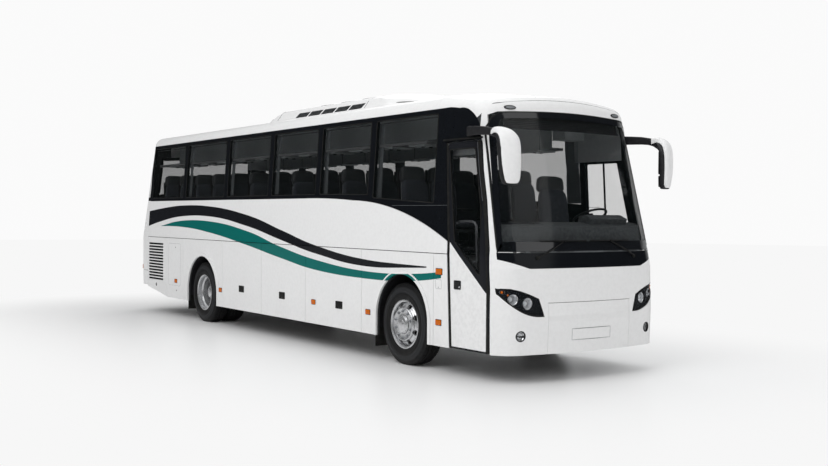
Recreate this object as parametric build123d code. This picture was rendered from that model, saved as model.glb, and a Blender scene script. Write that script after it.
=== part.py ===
from build123d import *
from math import atan2, cos, pi, sin, sqrt, tan, radians
import os

# A three-bay touring coach. Millimetres, +Z up from the road, +X forwards, +Y to
# the coach's left. Inside this file X is measured from the front axle; every
# piece is moved by FRONT_AXLE_X as it is written, so that the origin of the
# finished part is the middle of its footprint.

os.makedirs("parts", exist_ok=True)

# ---- driving dimensions -------------------------------------------------------
FRONT_AXLE_X = 3470      # front axle, from the middle of the coach's length
WHEELBASE = 6190
HALF_W = 1275            # body side, below the belt
ROOF_HALF_W = 1134       # half width that the raked sides reach at RAKE_TOP_Z
RAKE_TOP_Z = 3560
WALL = 45                # thickness of body panels, doors and flaps
SKIRT_Z = 325            # lower edge of the skirt
REAR_SKIRT_Z = 500       # lower edge behind the rear overhang
BELT_Z = 1430            # groove along the waist, and hinge line of the flaps
SEAM = 6                 # gap between neighbouring panels
BAND_Z = 2117            # lower edge of the dark window band
EAVE_Z = 3166            # upper edge of the window band
CROWN_Z = 3410           # roof on the centre line
CROWN_R = 6000
EAVE_R = 170             # rounding between roof and sides
FALL_X, FALL = 650, 0.13  # the roof falls forwards from here, by this slope
SIDE_FRONT_X = 1100      # forward end of the plain side walls
REAR_X = -8744           # where the rear moulding begins
TYRE_R, TYRE_W = 522, 290
RIM_R = 286
WHEEL_Z = 512            # axle height on loaded tyres
TRACK_Y = 1085           # middle plane of a front or an outer rear wheel
TWIN_PITCH = 330         # between the twin wheels' middle planes
KINGPIN_Y = 1000
STEER_ARM = 150
FLOOR_Z = 1330           # top of the saloon floor
DRIVER_Z = 1150          # top of the driver's platform
RAIL_Y, RAIL_Z = 420, 1150
CROSS_XS = (-8700, -7250, -5750, -5290, -3860, -2450, -900, 400)  # floor bearers
TOW_PIN_R = 21           # bore in the front cross-member
SEAT_PITCH = 730
WINDSHIELD_RAKE = 0.2155  # rearward lean of the windshield's side edges

RIGHT, LEFT = -1, 1
SIDES = (RIGHT, LEFT)


# ---- helpers ------------------------------------------------------------------
def solids_of(shape):
    """The separate solids in a shape, list or compound."""
    if isinstance(shape, (list, tuple, ShapeList)):
        return [s for item in shape for s in solids_of(item)]
    return list(shape.solids())


def write(name, shape):
    """Writes one node as a STEP file, moved into the finished part's frame."""
    pieces = [s.moved(Location((FRONT_AXLE_X, 0, 0))) for s in solids_of(shape)]
    whole = pieces[0] if len(pieces) == 1 else Compound(children=pieces)
    export_step(whole, f"parts/{name}.step")


def box(x, y, z):
    """A box from its (low, high) extents along X, Y and Z."""
    size = (x[1] - x[0], y[1] - y[0], z[1] - z[0])
    return Pos(sum(x) / 2, sum(y) / 2, sum(z) / 2) * Box(*size)


def span(side, inner, outer):
    """Y extents of something between two distances from the centre line."""
    return (inner, outer) if side == LEFT else (-outer, -inner)


def rod(start, end, radius):
    """A round bar between two points."""
    a, b = Vector(*start), Vector(*end)
    plane = Plane(origin=a, z_dir=(b - a).normalized())
    return Solid.make_cylinder(radius, (b - a).length, plane)


def outline(steps, lift):
    """A closed wire from steps. Each step is (u, v), a corner reached by a
    straight line, or (via_u, via_v, u, v), a corner reached by an arc through
    the via point. lift turns (u, v) into a point."""
    edges, here = [], steps[-1][-2:]
    for step in steps:
        there = step[-2:]
        if len(step) == 4:
            edges.append(ThreePointArc(lift(*here), lift(*step[:2]), lift(*there)))
        elif here != there:
            edges.append(Line(lift(*here), lift(*there)))
        here = there
    return Face(Wire(edges))


def side_prism(steps, y):
    """An XZ outline carried along Y."""
    face = outline(steps, lambda u, v: (u, y[0], v))
    return Solid.extrude(face, Vector(0, y[1] - y[0], 0))


def front_prism(steps, x):
    """A YZ outline carried along X."""
    face = outline(steps, lambda u, v: (x[0], u, v))
    return Solid.extrude(face, Vector(x[1] - x[0], 0, 0))


def plan_prism(steps, z):
    """An XY outline carried along Z."""
    face = outline(steps, lambda u, v: (u, v, z[0]))
    return Solid.extrude(face, Vector(0, 0, z[1] - z[0]))


def mirrored(shape):
    """The other side's copy of a piece."""
    return shape.mirror(Plane.XZ)


def both(shape):
    return [shape, mirrored(shape)]


# ---- body envelope ------------------------------------------------------------
# Plan sections, joined by straight rulings:
# height, half width, front end, rear end, rear corner radius
SECTIONS = (
    (250, HALF_W, 2075, -9110, 110),
    (760, HALF_W, 2092, -9140, 110),
    (1290, HALF_W, 2073, -9140, 110),
    (BELT_Z, HALF_W, 2042, -9140, 110),
    (RAKE_TOP_Z, ROOF_HALF_W, 1545, -8830, 270),
)
NOSE_R, NOSE_CORNER_R, TAIL_R = 5500, 340, 12000


def plan_section(z, w, nose, tail, tail_corner, inset):
    """One plan section of the body, shrunk by inset all round."""
    w, nose, tail = w - inset, nose - inset, tail + inset
    rf, rr = NOSE_CORNER_R - inset, tail_corner - inset
    big, back = NOSE_R - inset, TAIL_R - inset
    cx = nose - big + sqrt((big - rf) ** 2 - (w - rf) ** 2)
    turn = atan2(w - rf, cx - nose + big)
    px, py = nose - big + big * cos(turn), big * sin(turn)
    half = (turn + pi / 2) / 2
    mx, my = cx + rf * cos(half), w - rf + rf * sin(half)
    ex = tail + back - sqrt((back - rr) ** 2 - (w - rr) ** 2)
    turn = atan2(w - rr, tail + back - ex)
    qx, qy = tail + back - back * cos(turn), back * sin(turn)
    half = (turn + pi / 2) / 2
    nx, ny = ex - rr * cos(half), w - rr + rr * sin(half)
    return Wire([
        Line((ex, -w, z), (cx, -w, z)),
        ThreePointArc((cx, -w, z), (mx, -my, z), (px, -py, z)),
        ThreePointArc((px, -py, z), (nose, 0, z), (px, py, z)),
        ThreePointArc((px, py, z), (mx, my, z), (cx, w, z)),
        Line((cx, w, z), (ex, w, z)),
        ThreePointArc((ex, w, z), (nx, ny, z), (qx, qy, z)),
        ThreePointArc((qx, qy, z), (tail, 0, z), (qx, -qy, z)),
        ThreePointArc((qx, -qy, z), (nx, -ny, z), (ex, -w, z)),
    ])


def envelope(inset):
    """The body's walls as one block, before the roof is cut."""
    return Solid.make_loft([plan_section(*row, inset) for row in SECTIONS], ruled=True)


def over_roof(x0, x1, fall, inset):
    """Everything above the cambered roof from x0 to x1."""
    top = CROWN_Z - inset
    eave = top - 1500 ** 2 / (2 * CROWN_R)
    face = outline([(0, top, 1500, eave), (1500, 4300), (-1500, 4300), (-1500, eave)],
                   lambda u, v: (x0, u, v))
    return Solid.extrude(face, Vector(x1 - x0, 0, (x0 - x1) * fall))


def roofed(block, low_x, high_x, cut, inset):
    """A length of the block with its roof cut and its eaves rounded."""
    part = block & box((low_x, high_x), (-1400, 1400), (0, 4200))
    part = (part - cut).solids()[0]
    eaves = [e for e in part.edges()
             if e.length > 60 and e.bounding_box().min.Z > 2800
             and e.bounding_box().max.Z < 3450
             and abs(e.center().X - FALL_X) > 5]
    return part.fillet(EAVE_R - inset, eaves)


OUTER, INNER = envelope(0), envelope(WALL)
SHELL = OUTER - INNER                                  # all walls, roof aside
GLAZING = envelope(2) - envelope(10)                   # glass, bonded near flush
MAIN = [roofed(b, -9300, FALL_X, over_roof(-9400, FALL_X + 50, 0, i), i)
        for b, i in ((OUTER, 0), (INNER, WALL))]
NOSE = [roofed(b, FALL_X, 2300, over_roof(FALL_X - 50 * 0, 2400, FALL, i), i)
        for b, i in ((OUTER, 0), (INNER, WALL))]
MAIN_SHELL = MAIN[0] - MAIN[1]
NOSE_SHELL = NOSE[0] - NOSE[1]


def side_wall(steps, side, stock=None):
    """The part of one side's wall inside an XZ outline."""
    return (stock or SHELL) & side_prism(steps, span(side, 500, 1500))


# ---- outlines on the sides (X from the front axle, Z) ------------------------
# the dark band's lower edge sweeps down to the door
BAND_SWEEP = [(-2600, BAND_Z), (-1900, 2111, -1228, 2080), (60, 1905, 960, 1585)]
BAND_NOSE = [(1425, 2861), (1339, 3016), (1168, 3109), (870, EAVE_Z)]
PILLAR = [(1764, SKIRT_Z - 20), (1764, 1055), (1734, 1500), (1627, 2059),
          (1540, 2400), (1483, 2709)]                   # rear edge of the front moulding
DOORWAY = ([(1025, SKIRT_Z - 20), (965, 1550), (826, 2752), (1471, 2752)]
           + PILLAR[:0:-1] + [PILLAR[0]])
BAND = ([(REAR_X, BAND_Z)] + BAND_SWEEP + [(1734, 1500)] + PILLAR[3:] + BAND_NOSE
        + [(REAR_X, EAVE_Z)])
WAIST = ([(REAR_X, BELT_Z + 3), (1737, BELT_Z + 3), (1734, 1500 - SEAM), (960, 1585 - SEAM),
          (60, 1905 - SEAM, -1228, 2080 - SEAM), (-1900, 2111 - SEAM, -2600, BAND_Z - SEAM),
          (REAR_X, BAND_Z - SEAM)])

# window openings: rear edge, front edge, sill height at each
WINDOWS = (
    (-8640, -7135, 2165, 2165), (-7005, -5375, 2165, 2165), (-5245, -3765, 2165, 2165),
    (-3635, -2270, 2165, 2165), (-2140, -860, 2165, 2150), (-730, 640, 2105, 2030),
)
WINDOW_TOP = 3105
DRIVER_WINDOW = [(738, 1790), (1487, 1790), (1319, 2575), (738, 2575)]

# skirt panels: rear edge, front edge, what the panel is
SKIRTS = (
    (REAR_X, -7770, "fixed"), (-7770, -7000, "fixed"), (-7000, -5310, "fixed"),
    (-5310, -3860, "flap"), (-3860, -2450, "flap"), (-2450, -920, "flap"),
    (-920, 708, "fixed"), (708, 1764, "fixed"),
)
# wheel openings: middle, half width, height of the top
ARCHES = ((26, 574, 1144), (-6146, 622, 1144))


def arch(middle, half, top, grow=0):
    """A wheel opening's outline: upright sides under a round top."""
    half, top = half + grow, top + grow
    spring = top - half * 0.95
    return [(middle + half, spring), (middle, top, middle - half, spring),
            (middle - half, SKIRT_Z - 200), (middle + half, SKIRT_Z - 200)]


nose_zone = side_prism([(x - SEAM, z) for x, z in PILLAR]
                       + [(1425 - SEAM, 2861), (2400, 2861), (2400, SKIRT_Z - 20)], (-1500, 1500))
arch_cuts = [side_prism(arch(*row), (-1500, 1500)) for row in ARCHES]
doorway_cut = side_prism(DOORWAY, span(RIGHT, 500, 1500))
rear_rise = side_prism([(-9400, 200), (-7700, 200), (-7700, SKIRT_Z), (-8900, REAR_SKIRT_Z),
                        (-9400, REAR_SKIRT_Z)], (-1500, 1500))


def skirt_panel(side, x0, x1):
    """One panel between the belt groove and the skirt's lower edge."""
    steps = [(x0 + SEAM / 2, SKIRT_Z), (x1 - SEAM / 2, SKIRT_Z),
             (x1 - SEAM / 2, BELT_Z - SEAM), (x0 + SEAM / 2, BELT_Z - SEAM)]
    return side_wall(steps, side)


def arch_lip(side, row):
    """The raised lip round a wheel opening."""
    ring = (side_prism(arch(*row, 52), span(side, HALF_W - 30, HALF_W + 12))
            - side_prism(arch(*row), (-1500, 1500)))
    return ring & box((-9000, 2000), (-1500, 1500), (SKIRT_Z, 2000))


# ---- sides -------------------------------------------------------------------
side_panels, flaps = [], {}
GRILLE = ((-8640, -7970), (630, 1330), 13)              # x, z, slats
for side in SIDES:
    waist = side_wall(WAIST, side) - nose_zone
    if side == RIGHT:
        waist = waist - doorway_cut
    side_panels += solids_of(waist)
    for x0, x1, kind in SKIRTS:
        if kind == "flap":
            flaps[side, x0] = skirt_panel(side, x0, x1)
            continue
        panel = skirt_panel(side, x0, x1) - rear_rise
        if x1 == SKIRTS[-1][1]:
            panel = panel - nose_zone
        for row, cut in zip(ARCHES, arch_cuts):
            if x0 < row[0] < x1:
                panel = panel - cut + arch_lip(side, row)
        if x1 == SKIRTS[-1][1] and side == RIGHT:
            panel = panel - doorway_cut
        if x0 == REAR_X and side == RIGHT:
            panel = panel - box(GRILLE[0], (-1500, -1100), GRILLE[1])
        side_panels += [s for s in solids_of(panel) if s.volume > 1e5]
write("side_panels", side_panels)

frames, glass = [], []
for side in SIDES:
    frame = side_wall(BAND, side)
    openings = [[(x0, z0), (x1, z1), (x1, WINDOW_TOP), (x0, WINDOW_TOP)]
                for x0, x1, z0, z1 in WINDOWS]
    if side == LEFT:
        openings.append(DRIVER_WINDOW)
    else:
        frame = frame - doorway_cut
    for steps in openings:
        opening = side_prism(steps, span(side, 500, 1500))
        frame = frame - opening
        glass.append(GLAZING & opening)
    frames.append(frame)
write("window_frames", frames)
write("side_glass", glass)

flap_names = {}
for (side, x0), panel in flaps.items():
    place = "right" if side == RIGHT else "left"
    bay = {-5310: "rear", -3860: "middle", -2450: "front"}[x0]
    # a stiffening pan behind the skin and a recessed latch
    name = f"luggage_flap_{place}_{bay}"
    flap_names[name] = panel
    write(name, panel)

slats = []
for n in range(GRILLE[2]):
    z = GRILLE[1][0] + (n + 0.5) * (GRILLE[1][1] - GRILLE[1][0]) / GRILLE[2]
    slats.append(box((GRILLE[0][0], GRILLE[0][1]), (-1268, -1240), (z - 14, z + 14)))
posts = [box((x - 12, x + 12), (-1245, -1225), GRILLE[1]) for x in (-8628, -8305, -7982)]
grille = slats[0]
for piece in slats[1:] + posts:
    grille = grille + piece
write("engine_grille", grille)

# ---- front -------------------------------------------------------------------
CAP = (PILLAR + BAND_NOSE + [(FALL_X, EAVE_Z), (FALL_X, 3700), (2400, 3700), (2400, 305)])
SCREEN = [(-1210, 1478), (1210, 1478), (1210, 2900), (1155, 3010), (1000, 3075),
          (0, 3105, -1000, 3075), (-1155, 3010), (-1210, 2900)]
COWL = [(-880, 1290), (880, 1290), (1230, 1400), (1230, 1472), (-1230, 1472), (-1230, 1400)]


def screen_zone(back=0):
    """Everything forward of the windshield's raked side edges."""
    foot = 1813 - back
    return side_prism([(foot + WINDSHIELD_RAKE * 400, 1075), (2500, 1075), (2500, 3300),
                       (foot - WINDSHIELD_RAKE * 1825, 3300)], (-1500, 1500))


screen_cut = front_prism(SCREEN, (1200, 2500)) & screen_zone()
cowl_cut = front_prism(COWL, (1200, 2500)) & screen_zone(10)
BUMPER_MID = [(-645, 305), (645, 305), (645, 902), (-645, 902)]
HEADLAMP = [(702, 750), (985, 800, 1225, 1010), (1232, 1072), (1000, 1040, 772, 952)]
FOG = (1000, 539, 62)
bumper_cut = front_prism(BUMPER_MID, (1700, 2500))
lamp_cuts = both(front_prism(HEADLAMP, (1780, 2500)))
fog_cuts = both(rod((1800, FOG[0], FOG[1]), (2300, FOG[0], FOG[1]), FOG[2]))

cap = NOSE_SHELL & side_prism(CAP, (-1500, 1500))
cap = cap & box((600, 2300), (-1400, 1400), (SKIRT_Z, 3700))
for cut in [screen_cut, cowl_cut, bumper_cut] + lamp_cuts + fog_cuts:
    cap = cap - cut
cap = cap - front_prism([(-648, 899), (648, 899), (648, 905), (-648, 905)], (1700, 2500))
write("front_cap", max(solids_of(cap), key=lambda s: s.volume))
bumper = SHELL & front_prism([(-642, SKIRT_Z), (642, SKIRT_Z), (642, 899), (-642, 899)],
                             (1700, 2500))
bumper = bumper - box((2078, 2200), (-312, 312), (462, 602))   # flat seat of the plate
write("front_bumper", bumper)
write("windshield_cowl", (envelope(2) - envelope(30)) & cowl_cut
      & box((1000, 2500), (-1300, 1300), (1293, 1469)))
write("windshield", GLAZING & screen_cut)

bowl = (envelope(12) - envelope(90)) & front_prism(HEADLAMP, (1790, 2500))
lens = (envelope(1) - envelope(7)) & front_prism(HEADLAMP, (1790, 2500))
LAMPS = ((1075, 948, 62), (905, 900, 66))                # y, z, radius
lamp_bowls = []
for side_bowl, sign in ((bowl, 1), (mirrored(bowl), -1)):
    for y, z, r in LAMPS:
        side_bowl = side_bowl - rod((1700, sign * y, z), (2400, sign * y, z), r)
    lamp_bowls.append(side_bowl)
write("headlamp_bowls", lamp_bowls)
write("headlamp_lenses", both(lens))
reflectors = []
for y, z, r in LAMPS:
    face_x = 2030 - (y - 700) ** 2 / 1900
    cup = (Pos(face_x - 70, y, z) * Rot(0, 90, 0)
           * (Cylinder(r - 3, 70) - Pos(0, 0, 20) * Cylinder(r - 12, 70)))
    reflectors.append(cup)
fog = rod((1935, FOG[0], FOG[1]), (1985, FOG[0], FOG[1]), FOG[2] - 3)
write("lamp_units", both(reflectors[0]) + both(reflectors[1]) + both(fog))

# ---- roof --------------------------------------------------------------------
HATCH = ((-6200, -5500), (-330, 330))
roof = MAIN_SHELL & box((REAR_X, FALL_X - 0.5), (-1500, 1500), (EAVE_Z, 3700))
roof = roof - box(HATCH[0], HATCH[1], (3200, 3600))
write("roof_shell", max(solids_of(roof), key=lambda s: s.volume))


def camber(y):
    return CROWN_Z - CROWN_R + sqrt(CROWN_R ** 2 - y ** 2)


hatch_lid = front_prism([(HATCH[1][0] - 35, 3425), (0, 3472, HATCH[1][1] + 35, 3425),
                         (HATCH[1][1] + 35, 3410), (0, 3436, HATCH[1][0] - 35, 3410)],
                        (HATCH[0][0] - 35, HATCH[0][1] + 35))
write("roof_hatch", hatch_lid)

# cooling pod: side profile crossed with a cambered section
POD_SIDE = [(-4300, 3330), (-4180, 3392), (-3820, 3530), (-3600, 3570, -3300, 3578),
            (-900, 3578), (-500, 3566, -250, 3510), (250, 3385), (330, 3330)]
POD_SECTION = [(-985, 3310), (-955, 3345), (-900, 3440), (-868, 3488, -800, 3502),
               (0, 3578, 800, 3502), (868, 3488, 900, 3440), (955, 3345), (985, 3310)]
pod = side_prism(POD_SIDE, (-1100, 1100)) & front_prism(POD_SECTION, (-4400, 500))
pod = pod - MAIN[0]
LOUVRES = ((-3490, -1510), (3352, 3428), 5)
step = (LOUVRES[0][1] - LOUVRES[0][0]) / LOUVRES[2]
louvre_cuts, louvres = [], []
for n in range(LOUVRES[2]):
    x0 = LOUVRES[0][0] + n * step
    zone = box((x0 + 12, x0 + step - 12), (880, 1100), LOUVRES[1])
    for cut in (zone, mirrored(zone)):
        louvres.append((pod & cut) - Pos(0, 0, 0) * box((-9000, 900), (-905, 905), (3000, 3700)))
        louvre_cuts.append(cut)
shell = pod
for cut in louvre_cuts:
    shell = shell - (cut - box((-9000, 900), (-905, 905), (3000, 3700)))
write("roof_ac_unit", shell)
write("ac_louvres", [s.scale(1.0) for piece in louvres for s in solids_of(piece)])

# ---- rear --------------------------------------------------------------------
REAR_WINDOW = [(-1010, 2200), (1010, 2200), (960, 2960), (0, 3000, -960, 2960)]
LID = ((-820, 820), (800, 1520))
rear_zone = box((-9300, REAR_X - SEAM), (-1500, 1500), (780, 3700))
cap = (MAIN_SHELL & rear_zone) - front_prism(REAR_WINDOW, (-9300, -8400))
cap = cap - box((-9300, -8900), LID[0], LID[1])
TAIL_LAMP = [(905, 850), (1130, 850), (1130, 1330), (1040, 1420, 905, 1440)]
tail_cuts = both(front_prism(TAIL_LAMP, (-9300, -8900)))
for cut in tail_cuts:
    cap = cap - cut
write("rear_cap", max(solids_of(cap), key=lambda s: s.volume))
write("rear_window", GLAZING & front_prism(REAR_WINDOW, (-9300, -8400)))
write("tail_lamps", [(envelope(0) - envelope(30)) & cut for cut in tail_cuts])
lid = SHELL & box((-9300, -8950), (LID[0][0] + SEAM, LID[0][1] - SEAM),
                  (LID[1][0] + SEAM, LID[1][1] - SEAM))
write("engine_lid", lid)
rear_bumper = SHELL & box((-9300, REAR_X - SEAM), (-1500, 1500), (REAR_SKIRT_Z, 780 - SEAM))
write("rear_bumper", rear_bumper - box((-9300, -9126), (-270, 270), (560, 690)))

# ---- passenger door -----------------------------------------------------------
GAP = 11
LEAF = [(1025 + GAP, SKIRT_Z + 8), (965 + GAP, 1550), (826 + GAP, 2752 - GAP),
        (1471 - GAP, 2752 - GAP), (1540 - GAP, 2400), (1627 - GAP, 2059), (1734 - GAP, 1500),
        (1764 - GAP, 1055), (1764 - GAP, SKIRT_Z + 8)]
PANE = [(1105, 1575), (1560, 1215), (1600, 1215), (1565, 2059 - 100), (1395, 2660), (905, 2660)]
leaf = side_wall(LEAF, RIGHT)
pane_cut = side_prism(PANE, span(RIGHT, 500, 1500))
HUB_X, HUB_Y, ARM = 1430, -1150, 380                     # column, and its arms' length
ARM_ZS = (620, 1500)
leaf = leaf - pane_cut
for z in ARM_ZS:
    bracket = (box((HUB_X - ARM - 28, HUB_X - ARM + 28), (-1232, HUB_Y + 22), (z - 45, z - 27))
               + box((HUB_X - ARM - 28, HUB_X - ARM + 28), (-1232, HUB_Y + 22), (z + 27, z + 45))
               + rod((HUB_X - ARM, HUB_Y, z - 40), (HUB_X - ARM, HUB_Y, z + 40), 11))
    leaf = leaf + bracket
write("door_leaf", leaf)
write("door_glass", GLAZING & pane_cut)
arms = rod((HUB_X, HUB_Y, 385), (HUB_X, HUB_Y, 1620), 24)
for z in ARM_ZS:
    arm = (rod((HUB_X - ARM, HUB_Y, z - 24), (HUB_X - ARM, HUB_Y, z + 24), 24)
           + box((HUB_X - ARM, HUB_X), (HUB_Y - 14, HUB_Y + 14), (z - 18, z + 18))
           - rod((HUB_X - ARM, HUB_Y, z - 60), (HUB_X - ARM, HUB_Y, z + 60), 12))
    arms = arms + arm
write("door_arms", arms)

# ---- floors, hold and frame ---------------------------------------------------
floor = box((-8800, 940), (-1222, 1222), (FLOOR_Z - 40, FLOOR_Z)) \
    - box((520, 960), (-60, 1300), (1200, 1400))
platform = box((480, 1660), (-60, 1200), (DRIVER_Z - 40, DRIVER_Z)) \
    + box((480, 520), (-60, 1200), (DRIVER_Z - 40, FLOOR_Z)) \
    + box((520, 1000), (-60, -30), (DRIVER_Z - 40, FLOOR_Z))
# entrance steps: inner edge, outer edge, top
STEPS = ((930, 1222, 380), (690, 930, 610), (450, 690, 840), (60, 450, 1070))
treads = None
for inner, outer, top in STEPS:
    tread = box((1000, 1690), span(RIGHT, inner, outer), (top - 25, top)) \
        + box((1000, 1690), span(RIGHT, inner, inner + 20), (top - 25, top + 230))
    treads = tread if treads is None else treads + tread
stepwell = treads + box((940, 1000), span(RIGHT, 60, 1200), (355, FLOOR_Z))
stepwell = stepwell - box((900, 1010), (-390, -290), (550, 710))   # lets the frame pass
write("saloon_floor", floor + platform + stepwell)

hold = box((-5300, -930), (-1222, 1222), (380, 420))
for x in (-5300, -3870, -2460, -960):
    hold = hold + box((x, x + 30), (-1222, 1222), (400, RAIL_Z - 100))
write("luggage_hold", hold)

frame_bars = []
for side in SIDES:
    frame_bars.append(box((-8700, 460), span(side, RAIL_Y - 40, RAIL_Y + 40),
                          (RAIL_Z - 100, RAIL_Z + 100)))
    frame_bars.append(box((380, 460), span(side, 300, 460), (560, RAIL_Z + 100)))
    frame_bars.append(box((380, 1700), span(side, 300, 380), (560, 700)))
    # waist rail inside the skin, that the panels and flaps hang on
    frame_bars.append(box((-8800, 460), span(side, 1175, 1224), (1200, FLOOR_Z - 40)))
    frame_bars.append(box((-8800, 470), span(side, 1175, 1224), (FLOOR_Z, BELT_Z + 2)))
    frame_bars.append(box((-8800, 470), span(side, 1175, 1225), (BELT_Z + SEAM, 1500)))
    frame_bars.append(box((-8800, 470), span(side, 1175, 1220), (BELT_Z, BELT_Z + SEAM)))
for x in CROSS_XS:
    frame_bars.append(box((x - 30, x + 30), (-1200, 1200), (RAIL_Z + 60, FLOOR_Z - 40)))
frame_bars.append(box((1640, 1700), (-600, 600), (560, 700)))
chassis = frame_bars[0]
for bar in frame_bars[1:]:
    chassis = chassis + bar
tow_bore = rod((1670, 0, 500), (1670, 0, 800), TOW_PIN_R)
write("chassis_frame", chassis - tow_bore)
write("engine_block", box((-8550, -7300), (-380, 380), (560, 1150)))

housings, guards = [], []
for middle, half, top in ARCHES:
    for side in SIDES:
        wide = side_prism(arch(middle, half + 62, top + 36), span(side, 575, 1228))
        hollow = side_prism(arch(middle, half + 44, top + 18), span(side, 590, 1240))
        well = (wide - hollow) & box((-9000, 2000), (-1500, 1500), (420, 2000))
        well = well - box((middle - half - 40, middle + half + 40), span(side, 500, 592), (300, 720))
        housings.append(well)
        x = middle - half - 70
        guards.append(box((x - 30, x - 22), span(side, 640, 1225), (170, 560)))
write("wheel_housings", [w for h in housings for w in solids_of(h)])
write("mudflaps", guards)

# ---- axles, knuckles and wheels ----------------------------------------------
beam = box((-50, 50), (-880, 880), (WHEEL_Z - 55, WHEEL_Z + 35))
for side in SIDES:
    y = side * KINGPIN_Y
    eye = rod((0, y, WHEEL_Z - 60), (0, y, WHEEL_Z + 60), 42)
    beam = beam + eye + box((-42, 42), span(side, 860, KINGPIN_Y - 20), (WHEEL_Z - 45, WHEEL_Z + 35))
    beam = beam - rod((0, y, WHEEL_Z - 99), (0, y, WHEEL_Z + 99), 21.5)
    beam = beam + rod((0, side * RAIL_Y, WHEEL_Z + 20), (0, side * RAIL_Y, RAIL_Z - 100), 110)
write("front_axle", beam)
rear = rod((-WHEELBASE, -560, WHEEL_Z), (-WHEELBASE, 560, WHEEL_Z), 75)
rear = rear + Pos(-WHEELBASE, 0, WHEEL_Z) * Sphere(200)
for side in SIDES:
    rear = rear + rod((-WHEELBASE, side * 540, WHEEL_Z), (-WHEELBASE, side * 1000, WHEEL_Z), 50)
    for dx in (-230, 230):
        rear = rear + rod((-WHEELBASE + dx, side * RAIL_Y, WHEEL_Z + 100),
                          (-WHEELBASE + dx, side * RAIL_Y, RAIL_Z - 100), 100)
    rear = rear + box((-WHEELBASE - 300, -WHEELBASE + 300), span(side, 370, 470),
                      (WHEEL_Z + 50, WHEEL_Z + 110))
write("rear_axle", rear)

for side, name in ((RIGHT, "right"), (LEFT, "left")):
    y = side * KINGPIN_Y
    ears = (rod((0, y, WHEEL_Z - 115), (0, y, WHEEL_Z - 63), 46)
            + rod((0, y, WHEEL_Z + 63), (0, y, WHEEL_Z + 115), 46)
            + rod((0, y, WHEEL_Z - 100), (0, y, WHEEL_Z + 100), 20))
    plate = box((-46, 46), span(side, KINGPIN_Y, KINGPIN_Y + 68), (WHEEL_Z - 115, WHEEL_Z + 115)) \
        - box((-60, 60), span(side, KINGPIN_Y - 60, KINGPIN_Y + 47), (WHEEL_Z - 63, WHEEL_Z + 63))
    arm = box((-STEER_ARM, 0), span(side, KINGPIN_Y - 16, KINGPIN_Y + 16),
              (WHEEL_Z - 115, WHEEL_Z - 90)) \
        + rod((-STEER_ARM, y, WHEEL_Z - 118), (-STEER_ARM, y, WHEEL_Z - 88), 24) \
        + rod((-STEER_ARM, y, WHEEL_Z - 165), (-STEER_ARM, y, WHEEL_Z - 90), 10)
    spindle = rod((0, side * (KINGPIN_Y + 60), WHEEL_Z), (0, side * 1145, WHEEL_Z), 34)
    write(f"knuckle_{name}", ears + plate + arm + spindle)

rod_z = WHEEL_Z - 142
tie = rod((-STEER_ARM, -KINGPIN_Y, rod_z), (-STEER_ARM, KINGPIN_Y, rod_z), 16)
for side in SIDES:
    y = side * KINGPIN_Y
    tie = tie + rod((-STEER_ARM, y, rod_z - 18), (-STEER_ARM, y, rod_z + 18), 24)
    tie = tie - rod((-STEER_ARM, y, rod_z - 60), (-STEER_ARM, y, rod_z + 60), 11)
write("track_rod", tie)


def turned(steps, x, y, side):
    """A (radius, outward distance) outline turned about a wheel's axle."""
    face = outline(steps, lambda u, v: (x, y + side * v, WHEEL_Z + u))
    return Solid.revolve(face, 360, Axis((x, y, WHEEL_Z), (0, 1, 0)))


def tyre(x, y, side):
    """A tyre: sidewalls of one arc each and shoulders of one chamfer."""
    half = TYRE_W / 2
    return turned([(RIM_R + 2, -half + 34), (RIM_R + 2, half - 34), (RIM_R + 24, half - 34),
                   (400, half, TYRE_R - 22, half - 14), (TYRE_R, half - 38),
                   (TYRE_R, -half + 38), (TYRE_R - 22, -half + 14),
                   (400, -half, RIM_R + 24, -half + 34)], x, y, side)


def front_rim(x, y, side):
    """A polished disc wheel with a domed hub, hand holes and stud ring."""
    rim = turned([(276, -112), (RIM_R + 1, -112), (RIM_R + 1, 112), (RIM_R + 22, 112),
                  (RIM_R + 22, 124), (280, 124), (268, 100), (262, 60), (235, 74),
                  (185, 92), (165, 96), (118, 96), (110, 128), (60, 142), (0.5, 142),
                  (0.5, 70), (165, 70), (200, 62), (240, 40), (272, 20), (276, 0)], x, y, side)
    bore = rod((x, y - side * 200, WHEEL_Z), (x, y + side * 72, WHEEL_Z), 36)
    rim = rim - bore
    for n in range(10):
        a = 2 * pi * n / 10
        px, pz = x + 218 * sin(a), WHEEL_Z + 218 * cos(a)
        rim = rim - rod((px, y, pz), (px, y + side * 200, pz), 27)
    return rim


def rear_rims(x, y, side):
    """Twin wheels on one hub: the outer disc is dished deep inwards."""
    pair = turned([(276, -TWIN_PITCH / 2 - 40), (276, -TWIN_PITCH + 20), (276, -TWIN_PITCH - 112),
                   (RIM_R + 1, -TWIN_PITCH - 112), (RIM_R + 1, -TWIN_PITCH + 112),
                   (RIM_R + 22, -TWIN_PITCH + 124), (RIM_R + 22, -124), (RIM_R + 1, -112),
                   (RIM_R + 1, 112), (RIM_R + 22, 112), (RIM_R + 22, 124), (280, 124),
                   (268, 100), (268, -60), (240, -92), (165, -112), (118, -112),
                   (112, 10), (90, 42), (0.5, 42), (0.5, -50), (60, -50), (60, -112), (60, -160),
                   (165, -160), (240, -175)], x, y, side)
    for n in range(10):
        a = 2 * pi * n / 10
        px, pz = x + 212 * sin(a), WHEEL_Z + 212 * cos(a)
        pair = pair - rod((px, y - side * 300, pz), (px, y + side * 20, pz), 27)
    return pair


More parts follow.
